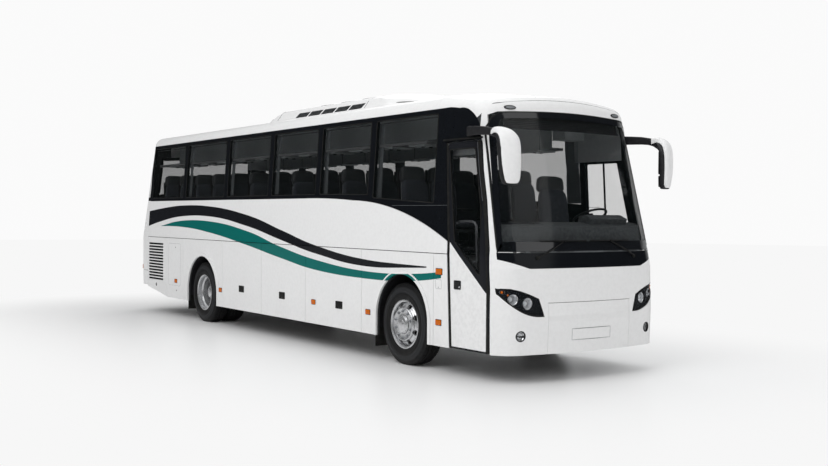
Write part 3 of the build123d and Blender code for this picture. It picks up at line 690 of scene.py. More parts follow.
class Paint:
    """Every finish on the coach."""

    white = LiveryPaint("coach_white", **GLOSS, height=0.00002, specular=0.16, dust=0.1, dust_top=0.7,
        second=SHADE)
    shell_white = ShellPaint("shell_white", **GLOSS, height=0.00002, specular=0.18, second=SHADE)
    bumper = BumperPaint("bumper_white", **GLOSS, specular=0.18, second=SHADE)
    plain_white = Finish("moulding_white", **GLOSS, height=0.00002, specular=0.18, second=SHADE)
    door = DoorPaint("door_paint", **GLOSS, height=0.00002, specular=0.16, dust=0.1, dust_top=0.6)
    gloss_black = Finish("band_black", (0.006, 0.007, 0.009, 1), roughness=0.14, vary=0.03, height=0.00003,
        specular=0.1)
    print_black = Finish("print_black", (0.006, 0.007, 0.009, 1), roughness=0.05, vary=0.02, height=0.0,
        specular=0.5)
    trim = Finish("trim_black", (0.014, 0.014, 0.016, 1), roughness=0.5, grain=1400, height=0.0003,
        second=(0.021, 0.021, 0.023, 1), specular=0.25)
    dash = Finish("dash_grey", (0.105, 0.114, 0.12, 1), roughness=0.7, grain=1300, height=0.0005,
        second=(0.07, 0.075, 0.08, 1), specular=0.25)
    piping = Finish("seat_piping", (0.17, 0.18, 0.19, 1), roughness=0.6, grain=1600)
    rubber = Finish("seal_rubber", (0.01, 0.01, 0.01, 1), roughness=0.62, grain=700,
        second=(0.016, 0.016, 0.015, 1), dust=0.05, dust_top=1.0, specular=0.15)
    tyre = TyreRubber("tyre_rubber", (0.011, 0.011, 0.012, 1), roughness=0.55, grain=500, height=0.0003,
        second=(0.015, 0.015, 0.015, 1), dust=0.03, dust_top=0.9, specular=0.11)
    alloy = Finish("polished_alloy", (0.6, 0.61, 0.62, 1), roughness=0.27, metallic=0.74, grain=260,
        vary=0.03, second=(0.68, 0.68, 0.7, 1), height=0.00001)
    chrome = Finish("lamp_chrome", (0.86, 0.87, 0.89, 1), roughness=0.12, metallic=0.72, grain=300,
        vary=0.02, height=0.00001)
    steel = Finish("chassis_black", (0.025, 0.025, 0.028, 1), roughness=0.55, grain=500,
        second=(0.045, 0.042, 0.04, 1), dust=0.45, dust_top=1.4)
    iron = Finish("engine_iron", (0.09, 0.09, 0.095, 1), roughness=0.6, metallic=0.5, grain=300,
        height=0.0008, dust=0.4, dust_top=1.3)
    floor = Finish("floor_vinyl", (0.13, 0.13, 0.135, 1), roughness=0.55, grain=900,
        second=(0.17, 0.17, 0.175, 1))
    cloth = Finish("seat_cloth", (0.038, 0.043, 0.055, 1), roughness=0.9, grain=1800, height=0.001,
        second=(0.062, 0.068, 0.082, 1))
    leather = Finish("headrest_leather", (0.045, 0.048, 0.052, 1), roughness=0.45, grain=900, height=0.0006)
    curtain = Finish("curtain_cloth", (0.17, 0.185, 0.195, 1), roughness=0.95, grain=1500, height=0.0008)
    rack = Finish("rack_grey", (0.17, 0.175, 0.18, 1), roughness=0.6, grain=700, specular=0.2)
    locker = Finish("locker_grey", (0.5, 0.53, 0.54, 1), roughness=0.6, grain=700, specular=0.2)
    side_glass = Glass("side_glass", (0.006, 0.008, 0.008, 1), roughness=0.03, alpha=0.3, vary=0.01,
        height=0.0, specular=0.2, clear=0.03)
    door_glass = Glass("door_glass", (0.006, 0.008, 0.008, 1), roughness=0.03, alpha=0.24, vary=0.01,
        height=0.0, specular=0.15)
    screen_glass = Glass("screen_glass", (0.006, 0.009, 0.009, 1), roughness=0.02, alpha=0.2, vary=0.01,
        height=0.0, specular=0.5)
    lens = Glass("lamp_lens", (0.04, 0.045, 0.05, 1), roughness=0.03, alpha=0.06, vary=0.01, height=0.0)
    amber = Lamp("amber_lens", (0.56, 0.12, 0.004, 1), roughness=0.22, coat=0.1, glow=0.03, vary=0.04,
        specular=0.2)
    red = Lamp("red_lens", (0.42, 0.008, 0.01, 1), roughness=0.15, coat=0.5, glow=0.05, vary=0.04)
    mirror_glass = Finish("mirror_glass", (0.85, 0.87, 0.88, 1), roughness=0.03, metallic=1.0, vary=0.01,
        height=0.0)
    plate = Finish("plate_blank", (0.78, 0.79, 0.8, 1), roughness=0.4, vary=0.03, grain=500)
    pearl = Finish("clear_bulb", (0.8, 0.83, 0.86, 1), roughness=0.12, coat=0.6, vary=0.02, height=0.0)
    smoke = Finish("smoked_lens", (0.16, 0.17, 0.18, 1), roughness=0.14, coat=0.5, vary=0.03)
    # mid grey lines round recessed covers, flaps and the plate: painted shade in their grooves
    groove = Finish("panel_groove", (0.3, 0.31, 0.32, 1), roughness=0.6)
    # near black for the duct behind the engine inlet, the louvre backs, the pod's intake slot and seams:
    # painted shade
    void = Finish("duct_black", (0.006, 0.006, 0.007, 1), roughness=0.8, specular=0.05)
    dull = Finish("brushed_rail", (0.34, 0.35, 0.37, 1), roughness=0.35, metallic=0.8, grain=600)
    slat = Finish("slat_grey", (0.085, 0.092, 0.096, 1), roughness=0.45, grain=700)
    lining = Finish("ceiling_cloth", (0.42, 0.44, 0.45, 1), roughness=0.9, grain=900, height=0.0004)


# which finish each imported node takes
NODE_FINISHES: tuple[tuple[Finish, tuple[str, ...]], ...] = (
    (Paint.white, ("side_panels",)),
    (Paint.shell_white, ("roof_shell", "front_cap", "rear_cap", "rear_bumper", "engine_lid")),
    (Paint.bumper, ("front_bumper",)),
    (Paint.plain_white, ("roof_ac_unit", "mirror_heads", "roof_hatch")),
    (Paint.door, ("door_leaf",)),
    (Paint.gloss_black, ("window_frames", "windshield_cowl", "headlamp_bowls")),
    (Paint.trim, ("mirror_arms", "wipers", "ac_louvres", "engine_grille", "wheel_housings",
                     "steering_wheel", "door_arms")),
    (Paint.dash, ("dashboard",)),
    (Paint.side_glass, ("side_glass", "rear_window")),
    (Paint.door_glass, ("door_glass",)),
    (Paint.screen_glass, ("windshield",)),
    (Paint.lens, ("headlamp_lenses",)),
    (Paint.steel, ("chassis_frame", "luggage_hold", "knuckle_right", "knuckle_left",
                      "track_rod", "front_axle", "rear_axle")),
    (Paint.iron, ("engine_block",)),
    (Paint.tyre, ("tyre_front_right", "tyre_front_left", "tyres_rear_right",
                     "tyres_rear_left")),
    (Paint.rubber, ("mudflaps",)),
    (Paint.alloy, ("wheel_front_right", "wheel_front_left", "wheels_rear_right",
                      "wheels_rear_left")),
    (Paint.chrome, ("lamp_units",)),
    (Paint.red, ("tail_lamps",)),
    (Paint.amber, ("marker_lamps",)),
    (Paint.floor, ("saloon_floor",)),
    (Paint.cloth, ("passenger_seats", "driver_seat")),
    (Paint.rack, ("luggage_racks",)),
)


def dress_nodes() -> None:
    """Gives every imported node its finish."""
    for finish, names in NODE_FINISHES:
        material = finish.build()
        for name in names:
            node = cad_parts[name]
            if not node.material_slots:
                node.data.materials.append(material)
            for slot in node.material_slots:
                slot.material = material
    for name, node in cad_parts.items():
        if name.startswith("luggage_flap_"):
            for slot in node.material_slots:
                slot.material = Paint.white.build()


# ---- meshes ----


class Shape:
    """A mesh being built, with one finish index per face."""

    def __init__(self) -> None:
        """Starts an empty mesh."""
        self.bm = bmesh.new()

    def loft(self, rings: Sequence[Sequence[Vector]], closed: bool = True,
            caps: tuple[bool, bool] = (False, False), mat: int = 0) -> None:
        """Joins rings of equal length into a skin.

        Args:
            rings: The rings, in order.
            closed: Whether each ring closes on itself.
            caps: Whether the first and the last ring are filled.
            mat: Finish index of the faces.
        """
        rows = [[self.bm.verts.new(p) for p in ring] for ring in rings]
        count = len(rows[0])
        for a, b in zip(rows, rows[1:]):
            for n in range(count if closed else count - 1):
                m = (n + 1) % count
                face = self.bm.faces.new((a[n], a[m], b[m], b[n]))
                face.material_index = mat
        for flag, row in zip(caps, (rows[0], rows[-1])):
            if flag:
                self.bm.faces.new(row).material_index = mat

    def solid(self, rings: Sequence[Sequence[Vector]], mat: int = 0) -> None:
        """A skin through rings, filled at both ends."""
        self.loft(rings, caps=(True, True), mat=mat)

    def tube(self, path: Sequence[Vector], radius: float, sides: int = 10, mat: int = 0) -> None:
        """A round bar along a path of points.

        Args:
            path: Its points.
            radius: Its radius.
            sides: Facets round it.
            mat: Finish index.
        """
        rings = []
        normal = None
        for n, point in enumerate(path):
            ahead = path[min(n + 1, len(path) - 1)] - path[max(n - 1, 0)]
            ahead.normalize()
            if normal is None:
                normal = ahead.orthogonal().normalized()
            else:
                normal = (normal - ahead * normal.dot(ahead)).normalized()
            other = ahead.cross(normal)
            rings.append([point + radius * (cos(a) * normal + sin(a) * other) for a in turns(sides)])
        self.solid(rings, mat=mat)

    def block(self, low: Vector, high: Vector, mat: int = 0) -> None:
        """A box between two corners."""
        corners = [Vector((x, y, z)) for z in (low.z, high.z) for x, y in rect(low.x, low.y, high.x,
            high.y)]
        self.solid([corners[:4], corners[4:]], mat=mat)

    def frame(self, outer: Outline, inner: Outline, lift: Lift, low: float, high: float,
            mat: int = 0) -> None:
        """A closed border between two outlines, from low to high off a surface.

        Args:
            outer: The outer outline.
            inner: The inner outline.
            lift: Turns the outline's points into points off the surface.
            low: Where it starts.
            high: Where it ends.
            mat: Finish index.
        """
        self.loft([[lift(u, v, out) for u, v in line] for line, out in ((outer, low), (outer, high),
            (inner, high), (inner, low), (outer, low))], mat=mat)

    def plate(self, line: Outline, lift: Lift, low: float, high: float, edge: float = 0.002,
            crown: float = 0.0, mat: int = 0) -> None:
        """A plate that follows a surface, with softened edges and an optional crown.

        Args:
            line: Its anticlockwise outline.
            lift: Turns the outline's points into points off the surface.
            low: Where its foot is.
            high: Where its face starts.
            edge: Width of the softened edge.
            crown: How much higher its middle is.
            mat: Finish index.
        """
        u0 = sum(p[0] for p in line) / len(line)
        v0 = sum(p[1] for p in line) / len(line)
        rings = [[lift(u, v, low) for u, v in line], [lift(u, v, high - edge * 0.7) for u, v in line],
            [lift(u, v, high) for u, v in inset(line, edge)]]
        for share in (0.75, 0.45, 0.15):
            rise = high + crown * (1 - share ** 2)
            rings.append([lift(u0 + (u - u0) * share, v0 + (v - v0) * share, rise) for u, v in line])
        self.solid(rings, mat=mat)

    def dish(self, line: Outline, lift: Lift, high: float, floor: float, wall: float = 0.0015,
            mat: int = 0) -> None:
        """A shallow open tray: a rim at high round a floor sunk below it.

        Args:
            line: Its anticlockwise outline.
            lift: Turns the outline's points into points off the surface.
            high: Height of the rim.
            floor: Height of the floor.
            wall: Width of the rim.
            mat: Finish index.
        """
        u0 = sum(p[0] for p in line) / len(line)
        v0 = sum(p[1] for p in line) / len(line)
        inner, under = inset(line, wall), floor - 0.002
        self.loft([[lift(u, v, under) for u, v in line], [lift(u, v, high) for u, v in line],
            [lift(u, v, high) for u, v in inner], [lift(u, v, floor) for u, v in inner]], mat=mat)
        for edge, out in ((inner, floor), (line, under)):
            self.loft([[lift(u0 + (u - u0) * s, v0 + (v - v0) * s, out) for u, v in edge]
                for s in (1.0, 0.5, 0.1)], caps=(False, True), mat=mat)

    def mesh(self, name: str, weld: bool = True) -> Mesh:
        """The shape as a new mesh with its faces turned outwards; the shape is then spent.

        Args:
            name: The mesh's name.
            weld: Whether points in one place are joined.

        Returns:
            The mesh.
        """
        if weld:
            bmesh.ops.remove_doubles(self.bm, verts=self.bm.verts, dist=1e-6)
        bmesh.ops.recalc_face_normals(self.bm, faces=self.bm.faces)
        mesh = bpy.data.meshes.new(name)
        self.bm.to_mesh(mesh)
        self.bm.free()
        return mesh

    def part(self, *finishes: Finish, smooth: float = 32.0, name: str = "part") -> Mesh:
        """The shape as a shaded mesh with its finishes.

        Args:
            *finishes: The finishes, by face index.
            smooth: Edges sharper than this many degrees stay sharp.
            name: The mesh's name.

        Returns:
            The mesh.
        """
        mesh = self.mesh(name)
        for finish in finishes:
            mesh.materials.append(finish.build())
        shade(mesh, smooth)
        return mesh

    def finish(self, name: str, finishes: Sequence[Finish], slot: str, body: str = "coach",
            smooth: float = 35.0, replaces: Sequence[str] = ()) -> Object:
        """Turns the shape into a piece that rides on a body.

        Args:
            name: The piece's name.
            finishes: The finishes, by face index.
            slot: The record's material slot.
            body: The body it rides on.
            smooth: Edges sharper than this many degrees stay sharp.
            replaces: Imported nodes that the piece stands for.

        Returns:
            The piece.
        """
        piece = linked(name, self.part(*finishes, smooth=smooth, name=name))
        return settle(piece, body, slot, replaces)


def shade(mesh: Mesh, angle: float) -> None:
    """Smooth shading with sharp edges over an angle in degrees.

    Args:
        mesh: The mesh.
        angle: Edges sharper than this stay sharp.
    """
    for polygon in mesh.polygons:
        polygon.use_smooth = True
    mesh.set_sharp_from_angle(angle=radians(angle))


def baked(item: Object) -> Mesh:
    """A new mesh of an object with its modifiers applied; the object goes.

    Args:
        item: The object.

    Returns:
        The mesh.
    """
    evaluated = item.evaluated_get(bpy.context.evaluated_depsgraph_get())
    result = bpy.data.meshes.new_from_object(evaluated)
    bpy.data.objects.remove(item)
    return result


def settle(piece: Object, body: str, slot: str, replaces: Sequence[str] = ()) -> Object:
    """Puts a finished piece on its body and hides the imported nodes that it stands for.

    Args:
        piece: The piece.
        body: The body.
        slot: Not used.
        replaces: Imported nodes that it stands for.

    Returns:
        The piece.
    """
    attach(piece, body)
    if replaces:
        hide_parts(*replaces)
    LOG.info("%s: %d faces on %s", piece.name, len(piece.data.polygons), body)
    return piece


# ---- outlines on the skin ----




def rounded(corners: Outline, radius: float, steps: int = 5) -> Points:
    """A polygon's outline with rounded corners.

    Args:
        corners: The corners, anticlockwise.
        radius: Radius of each corner, less where an edge is short.
        steps: Segments in each corner.

    Returns:
        The outline's points.
    """
    result = []
    for n, corner in enumerate(corners):
        here = Vector(corner)
        before = Vector(corners[n - 1]) - here
        after = Vector(corners[(n + 1) % len(corners)]) - here
        reach = min(radius / tan(before.angle(after) / 2), before.length * 0.48, after.length * 0.48)
        start, end = here + before.normalized() * reach, here + after.normalized() * reach
        for k in range(steps + 1):
            t = k / steps
            result.append(tuple((1 - t) ** 2 * start + 2 * t * (1 - t) * here + t * t * end))
    return result


def inset(line: Outline, distance: float | Sequence[float]) -> Points:
    """An anticlockwise outline moved inwards, by one distance or one for each point.

    Args:
        line: The outline.
        distance: How far, or how far at each point.

    Returns:
        The new outline.
    """
    result = []
    for n, (u, v) in enumerate(line):
        before, after = Vector(line[n - 1]), Vector(line[(n + 1) % len(line)])
        along = (after - before).normalized()
        far = distance if isinstance(distance, float) else distance[n]
        result.append((u - along.y * far, v + along.x * far))
    return result


def ellipse(u: float, v: float, half_u: float, half_v: float, sides: int = 28) -> Points:
    """An anticlockwise ellipse about (u, v).

    Args:
        u: Its middle's first place.
        v: Its middle's second place.
        half_u: Half its length.
        half_v: Half its height.
        sides: Its points.

    Returns:
        The outline.
    """
    return [(u + half_u * cos(a), v + half_v * sin(a)) for a in turns(sides)]


def fine(line: Outline, step: float) -> Points:
    """An outline with points added, so that no edge is longer than step.

    Args:
        line: The outline.
        step: The longest edge.

    Returns:
        The finer outline.
    """
    result = []
    for n, point in enumerate(line):
        a, b = Vector(point), Vector(line[(n + 1) % len(line)])
        count = max(1, ceil((b - a).length / step))
        result += [tuple(a.lerp(b, k / count)) for k in range(count)]
    return result


def arc_through(a: tuple[float, float], b: tuple[float, float], c: tuple[float, float],
        steps: int) -> Points:
    """Points of the arc from a through b to c.

    Args:
        a: Its start.
        b: A point on it.
        c: Its end.
        steps: Its segments.

    Returns:
        The points.
    """
    (ax, ay), (bx, by), (cx, cy) = a, b, c
    turn = 2 * (ax * (by - cy) + bx * (cy - ay) + cx * (ay - by))
    u = ((ax ** 2 + ay ** 2) * (by - cy) + (bx ** 2 + by ** 2) * (cy - ay) + (cx ** 2 + cy ** 2)
        * (ay - by)) / turn
    v = ((ax ** 2 + ay ** 2) * (cx - bx) + (bx ** 2 + by ** 2) * (ax - cx) + (cx ** 2 + cy ** 2)
        * (bx - ax)) / turn
    radius, start = hypot(ax - u, ay - v), atan2(ay - v, ax - u)
    sweep = (atan2(cy - v, cx - u) - start + pi) % (2 * pi) - pi
    return [(u + radius * cos(start + sweep * k / steps), v + radius * sin(start + sweep * k / steps))
        for k in range(steps + 1)]


def side_lift(side: Side) -> Lift:
    """Turns (X, Z, out) into a point on a side's skin."""
    return lambda x, z, out: on_side(x, z, side, out)


def front_lift(side: Side) -> Lift:
    """Turns (distance from the centre line, Z, out) into a point on the front skin."""
    return lambda y, z, out: on_front(side.value * y, z, out)


def rear_lift(side: Side = Side.LEFT) -> Lift:
    """Turns (distance from the centre line, Z, out) into a point on the rear skin."""
    return lambda y, z, out: at(rear_x(y, z) - out, side.value * y, z)


def rear_corner(z: float) -> tuple[float, float]:
    """Half width of the body and radius of its rear corner at height z."""
    over = max(0.0, z - BELT_Z) / (TOP_Z - BELT_Z)
    return HALF_W - 0.141 * over, 0.11 + 0.16 * over


def rear_x(y: float, z: float) -> float:
    """X of the rear skin from the front axle.

    Args:
        y: Distance from the centre line, either side.
        z: Height.

    Returns:
        The skin's X from the front axle.
    """
    over = max(0.0, z - BELT_Z) / (TOP_Z - BELT_Z)
    tail = -9.14 + 0.31 * over + 0.03 * max(0.0, (0.76 - z) / 0.51)
    half, corner = rear_corner(z)
    bow = tail + y * y / 24.0
    past = abs(y) - (half - corner)
    if past > 0:
        bow += corner - sqrt(max(0.0, corner ** 2 - min(past, corner) ** 2))
    return bow


# ---- repeats by geometry nodes ----


def array_tree() -> NodeTree:
    """The tree that repeats a shape along a step and a turn about a centre.

    Returns:
        The geometry node group, with inputs Count, Step, Turn, Centre and Finish.
    """
    known = bpy.data.node_groups.get("repeat_shape")
    if known:
        return known
    group = bpy.data.node_groups.new("repeat_shape", "GeometryNodeTree")
    for label, kind in (("Geometry", "Geometry"), ("Count", "Int"), ("Step", "Vector"), ("Turn", "Vector"),
            ("Centre", "Vector"), ("Finish", "Material")):
        group.interface.new_socket(label, in_out="INPUT", socket_type=f"NodeSocket{kind}")
    group.interface.new_socket("Geometry", in_out="OUTPUT", socket_type="NodeSocketGeometry")
    tree = Tree(group)
    given = {s.name: s for s in group.nodes.new("NodeGroupInput").outputs}
    line = tree.value("GeometryNodeMeshLine", {"Count": given["Count"], "Offset": given["Step"],
        "Start Location": given["Centre"]})
    turn = tree.value("ShaderNodeVectorMath", {0: given["Turn"], "Scale": tree.value(
        "GeometryNodeInputIndex")}, operation="SCALE")
    copies = tree.value("GeometryNodeInstanceOnPoints", {"Points": line, "Instance": given["Geometry"],
        "Rotation": turn})
    real = tree.value("GeometryNodeRealizeInstances", {0: copies})
    dressed = tree.value("GeometryNodeSetMaterial", {"Geometry": real, "Material": given["Finish"]})
    tree.plug(group.nodes.new("NodeGroupOutput").inputs[0], dressed)
    return group


@dataclass(frozen=True)
class Repeat:
    """How a shape repeats: how many, the step, and the turn about a centre each time."""

    count: int
    step: Point = (0.0, 0.0, 0.0)
    turn: Point = (0.0, 0.0, 0.0)
    centre: Point = (0.0, 0.0, 0.0)

    def make(self, shape: Shape, finish: Finish) -> Mesh:
        """Repeats a shape and returns one plain mesh.

        Args:
            shape: The shape, about the origin.
            finish: The finish of every copy.

        Returns:
            The joined mesh.
        """
        unit = linked("unit", shape.mesh("unit", weld=False))
        modifier = unit.modifiers.new("repeat", "NODES")
        modifier.node_group = array_tree()
        ids = {item.name: item.identifier for item in modifier.node_group.interface.items_tree
            if item.item_type == "SOCKET" and item.in_out == "INPUT"}
        for label, value in (("Count", self.count), ("Step", self.step), ("Turn", self.turn),
                ("Centre", self.centre), ("Finish", finish.build())):
            modifier[ids[label]] = value
        unit.update_tag()
        return baked(unit)


def around(centre: Vector, count: int, shape: Shape, finish: Finish) -> Mesh:
    """Repeats a shape all round a wheel's axle."""
    return Repeat(count, turn=(0.0, 2 * pi / count, 0.0), centre=tuple(centre)).make(shape, finish)


def joined(name: str, meshes: Sequence[Mesh]) -> Object:
    """Joins meshes into one new object at the origin, keeping their materials.

    Args:
        name: The object's name.
        meshes: The meshes.

    Returns:
        The object.
    """
    bm = bmesh.new()
    result = bpy.data.meshes.new(name)
    for mesh in meshes:
        start, offset = len(bm.faces), len(result.materials)
        for material in mesh.materials:
            result.materials.append(material)
        bm.from_mesh(mesh)
        bm.faces.ensure_lookup_table()
        for face in bm.faces[start:]:
            face.material_index += offset
    bm.to_mesh(result)
    bm.free()
    return linked(name, result)


def lathe(shape: Shape, profile: Outline, centre: Vector, side: Side, sides: int = 96,
        closed: bool = False) -> None:
    """Turns a (radius, outward) profile about a wheel's axle.

    Args:
        shape: The shape to add to.
        profile: Points of the profile; the turned skin is closed where radius is 0.
        centre: Middle of the wheel.
        side: Which side the wheel is on; outward is away from the coach.
        sides: Facets round the axle.
        closed: Whether the profile's last point joins its first.
    """
    shape.loft([[centre + Vector((r * sin(a), side.value * out, r * cos(a))) for a in turns(sides)]
        for r, out in list(profile) + ([profile[0]] if closed else [])])


# ---- wheels ----


@dataclass
class Tyre:
    """A highway coach tyre: ribbed tread, shoulder slots and moulded sidewall rings."""

    radius: float = 0.522
    width: float = 0.29
    bead: float = 0.2885
    groove: float = 0.011
    pitches: int = 66
    rib_edges: tuple[float, ...] = (-0.107, -0.065, -0.055, -0.02, -0.01, 0.01, 0.02, 0.055, 0.065, 0.107)

    def profile(self) -> Points:
        """The carcass outline, from the inner bead round the tread to the outer bead.

        Returns:
            The (radius, outward) points.
        """
        half = self.width / 2
        floor = self.radius - self.groove
        side = [(self.bead, half - 0.034), (self.bead + 0.004, half - 0.026), (0.306, half - 0.02),
            (0.318, half - 0.0135), (0.321, half - 0.0105), (0.326, half - 0.0105), (0.33, half - 0.0075),
            (0.352, half - 0.0032), (0.372, half - 0.0012), (0.376, half + 0.0003), (0.38, half - 0.0012),
            (0.396, half - 0.0012), (0.414, half - 0.003), (0.419, half - 0.0016), (0.424, half - 0.0052),
            (0.446, half - 0.0095), (0.466, half - 0.0155), (0.471, half - 0.015), (0.475, half - 0.0195),
            (0.494, half - 0.0275), (floor, half - 0.0355)]
        return ([(r, -y) for r, y in side] + [(floor, 0.0)] + [(r, y) for r, y in reversed(side)])

    def tread(self, centre: Vector, finish: Finish) -> Mesh:
        """The ring of tread blocks, five ribs wide.

        Args:
            centre: Middle of the wheel.
            finish: Finish of the blocks.

        Returns:
            The ring.
        """
        unit = Shape()
        pitch = 2 * pi / self.pitches
        base = self.radius - self.groove - 0.003
        edges = self.rib_edges
        for n in range(0, len(edges), 2):
            outer_rib = n in (0, len(edges) - 2)
            gap = 0.075 if outer_rib else 0.03
            drop = 0.0025 if outer_rib else 0.0
            skew = 0.0 if outer_rib else (0.1 if n % 4 else -0.1)
            rings = []
            for radius, grow in ((base, 0.0012), (self.radius, 0.0)):
                ring = []
                for u, y in rect(gap, edges[n], 1 - gap, edges[n + 1]):
                    lean = skew * (1 if y == edges[n] else -1)
                    a = (u + lean - 0.5) * pitch
                    edge = abs(y) > 0.1
                    r = radius - (drop + 0.004 if edge and radius == self.radius else 0.0)
                    push = grow * (1 if y == edges[n + 1] else -1)
                    ring.append(Vector((r * sin(a), y + push, r * cos(a))))
                rings.append(ring)
            unit.solid(rings)
        return around(centre, self.pitches, unit, finish)

    def build(self, centre: Vector) -> list[Mesh]:
        """The whole tyre as meshes to join.

        Args:
            centre: Middle of the wheel.

        Returns:
            The carcass and the tread.
        """
        carcass = Shape()
        lathe(carcass, self.profile(), centre, Side.LEFT, closed=True)
        return [carcass.part(Paint.tyre), self.tread(centre, Paint.tyre)]


def cut_round(mesh: Mesh, cutters: Shape) -> Mesh:
    """Cuts closed shapes out of a closed mesh.

    Args:
        mesh: The mesh to cut.
        cutters: Closed shapes, joined.

    Returns:
        The cut mesh.
    """
    solid = linked("solid", mesh)
    tool = linked("cutters", cutters.mesh("cutters", weld=False))
    modifier = solid.modifiers.new("cut", "BOOLEAN")
    modifier.object = tool
    modifier.operation = "DIFFERENCE"
    modifier.solver = "EXACT"
    result = baked(solid)
    bpy.data.objects.remove(tool)
    shade(result, 32)
    return result


@dataclass
class Rim:
    """A forged alloy wheel: flanged rim, pierced disc, stud ring and hub.

    A profile is given as (radius, outward) from the wheel's middle.
    """

    side: Side = Side.RIGHT
    axle_x: float = 0.0
    lip: float = 0.3095
    seat: float = 0.287
    studs: int = 10
    stud_circle: float = 0.1675
    holes: int = 8
    hole_circle: float = 0.238
    hole_radius: float = 0.033

    @property
    def centre(self) -> Vector:
        """The wheel's middle."""
        return at(self.axle_x, self.side.value * TRACK_Y, WHEEL_Z)

    def turned(self, *profiles: Outline, finish: Finish, closed: bool = False) -> Mesh:
        """Skins turned about the axle.

        Args:
            *profiles: Their profiles.
            finish: Their finish.
            closed: Whether each profile's last point joins its first.

        Returns:
            The skins as one mesh.
        """
        shape = Shape()
        for profile in profiles:
            lathe(shape, profile, self.centre, self.side, closed=closed)
        return shape.part(finish)

    def barrel(self, *shifts: float) -> Mesh:
        """The rim's flanges and well, closed all round.

        Args:
            *shifts: How far out each rim stands.

        Returns:
            The rims.
        """
        outer = [(0.296, 0.1285), (self.lip, 0.1265), (self.lip, 0.1195), (0.3, 0.113), (self.seat, 0.111),
            (self.seat - 0.006, 0.06), (0.262, 0.04), (0.262, -0.04), (self.seat - 0.006, -0.06),
            (self.seat, -0.111), (0.3, -0.113), (self.lip, -0.1195), (self.lip, -0.1265), (0.296, -0.1285),
            (0.281, -0.118), (0.274, -0.06), (0.252, -0.038), (0.252, 0.038), (0.272, 0.06), (0.28, 0.118)]
        return self.turned(*([(r, y + shift) for r, y in outer] for shift in shifts), finish=Paint.alloy,
            closed=True)

    def disc(self, *profile: tuple[float, float]) -> Mesh:
        """The pierced disc.

        Args:
            *profile: Points of its closed profile.

        Returns:
            The disc.
        """
        cutters = Shape()
        for n in range(self.holes):
            a = 2 * pi * (n + 0.5) / self.holes
            across, out = Vector((cos(a), 0, -sin(a))), Vector((sin(a), 0, cos(a)))
            middle = self.centre + out * self.hole_circle
            cutters.solid([[middle + Vector((0, self.side.value * reach, 0)) + across * self.hole_radius
                * 1.12 * cos(b) + out * self.hole_radius * 0.86 * sin(b) for b in turns(20)]
                for reach in (-0.3, 0.3)])
        return cut_round(self.turned(profile, finish=Paint.alloy, closed=True), cutters)

    def bolts(self, count: int, away: float, finish: Finish, *studs: tuple[int, Outline]) -> Mesh:
        """A ring of bolts that face outwards.

        Args:
            count: How many.
            away: Their distance from the axle.
            finish: Their finish.
            *studs: Facets and profile of each part of a bolt.

        Returns:
            The ring.
        """
        unit = Shape()
        for sides, steps in studs:
            unit.solid([[Vector((r * cos(a), self.side.value * out, away + r * sin(a)))
                for a in turns(sides)] for r, out in steps])
        return around(self.centre, count, unit, finish)

    def nuts(self, face: float, tall: float = 0.026) -> Mesh:
        """Flanged wheel nuts with their stud ends, standing on the disc's face.

        Args:
            face: How far out the disc's face is.
            tall: Height of a nut.

        Returns:
            The ring of nuts.
        """
        foot = face - 0.004
        top, end = foot + tall, foot + tall + 0.012
        return self.bolts(self.studs, self.stud_circle, Paint.dull,
            (24, ((0.019, foot), (0.019, foot + 0.008))), (6, ((0.015, foot + 0.006), (0.015, top - 0.002),
            (0.015 - 0.0022, top))), (14, ((0.01, top - 0.004), (0.01, end - 0.002), (0.01 - 0.0022, end))))

    def valve(self, face: float) -> Mesh:
        """The tyre valve, bent out through a hand hole.

        Args:
            face: How far out the disc's face is.

        Returns:
            The valve.
        """
        shape = Shape()
        for radius, line in ((0.0045, ((0.262, -0.03), (0.255, 0.005), (0.246, 0.04))),
                (0.0062, ((0.246, 0.038), (0.2445, 0.052)))):
            shape.tube([self.centre + Vector((ahead, self.side.value * (face + out), 0.0))
                for ahead, out in line], radius)
        return shape.part(Paint.chrome)


@dataclass
class FrontWheel(Rim):
    """A front wheel: the disc stands proud and carries a domed hub cover."""

    def build(self) -> None:
        """Builds the tyre and the wheel of this side, and the drum behind it."""
        word = self.side.word
        body = f"front_wheel_{word}"
        tyre = joined(f"front_tyre_{word}", Tyre().build(self.centre))
        settle(tyre, body, "tyre_rubber", [f"tyre_front_{word}"])
        disc = self.disc((0.266, 0.05), (0.266, 0.084), (0.26, 0.093), (0.242, 0.108), (0.222, 0.119),
            (0.215, 0.127), (0.2115, 0.14), (0.206, 0.1465), (0.198, 0.148), (0.191, 0.144), (0.14, 0.143),
            (0.117, 0.144), (0.117, 0.118), (0.19, 0.118), (0.208, 0.1), (0.24, 0.08), (0.25, 0.05))
        hub = self.turned(((0.1185, 0.122), (0.1185, 0.149), (0.115, 0.154), (0.104, 0.156), (0.099, 0.164),
            (0.084, 0.17), (0.06, 0.1735), (0.057, 0.179), (0.046, 0.185), (0.024, 0.188), (0.0, 0.1885)),
            ((0.1185, 0.122), (0.0, 0.122)), finish=Paint.alloy)
        bolts = self.bolts(8, 0.1085, Paint.chrome, (6, ((0.0065, 0.1525), (0.0065, 0.1585))))
        # two thin near-black rings, at the disc's edge and round the hub: painted shadow lines
        painted_shadow_rings = self.turned(*([(radius + 0.003 * cos(a), out + 0.003 * sin(a)) for a in turns(8)]
            for radius, out in ((0.2165, 0.1225), (0.1205, 0.144))), finish=Paint.trim, closed=True)
        wheel = joined(f"front_rim_{word}", [self.barrel(0.0), disc, hub, bolts, painted_shadow_rings,
            self.nuts(0.1435, 0.017), self.valve(0.07)])
        settle(wheel, body, "alloy", [f"wheel_front_{word}"])
        brake = Shape()
        lathe(brake, ((0.225, -0.135), (0.225, 0.01), (0.12, 0.01), (0.12, -0.135)), self.centre, self.side,
            sides=64, closed=True)
        brake.finish(f"front_brake_{word}", [Paint.iron], "chassis_paint", f"knuckle_{word}")


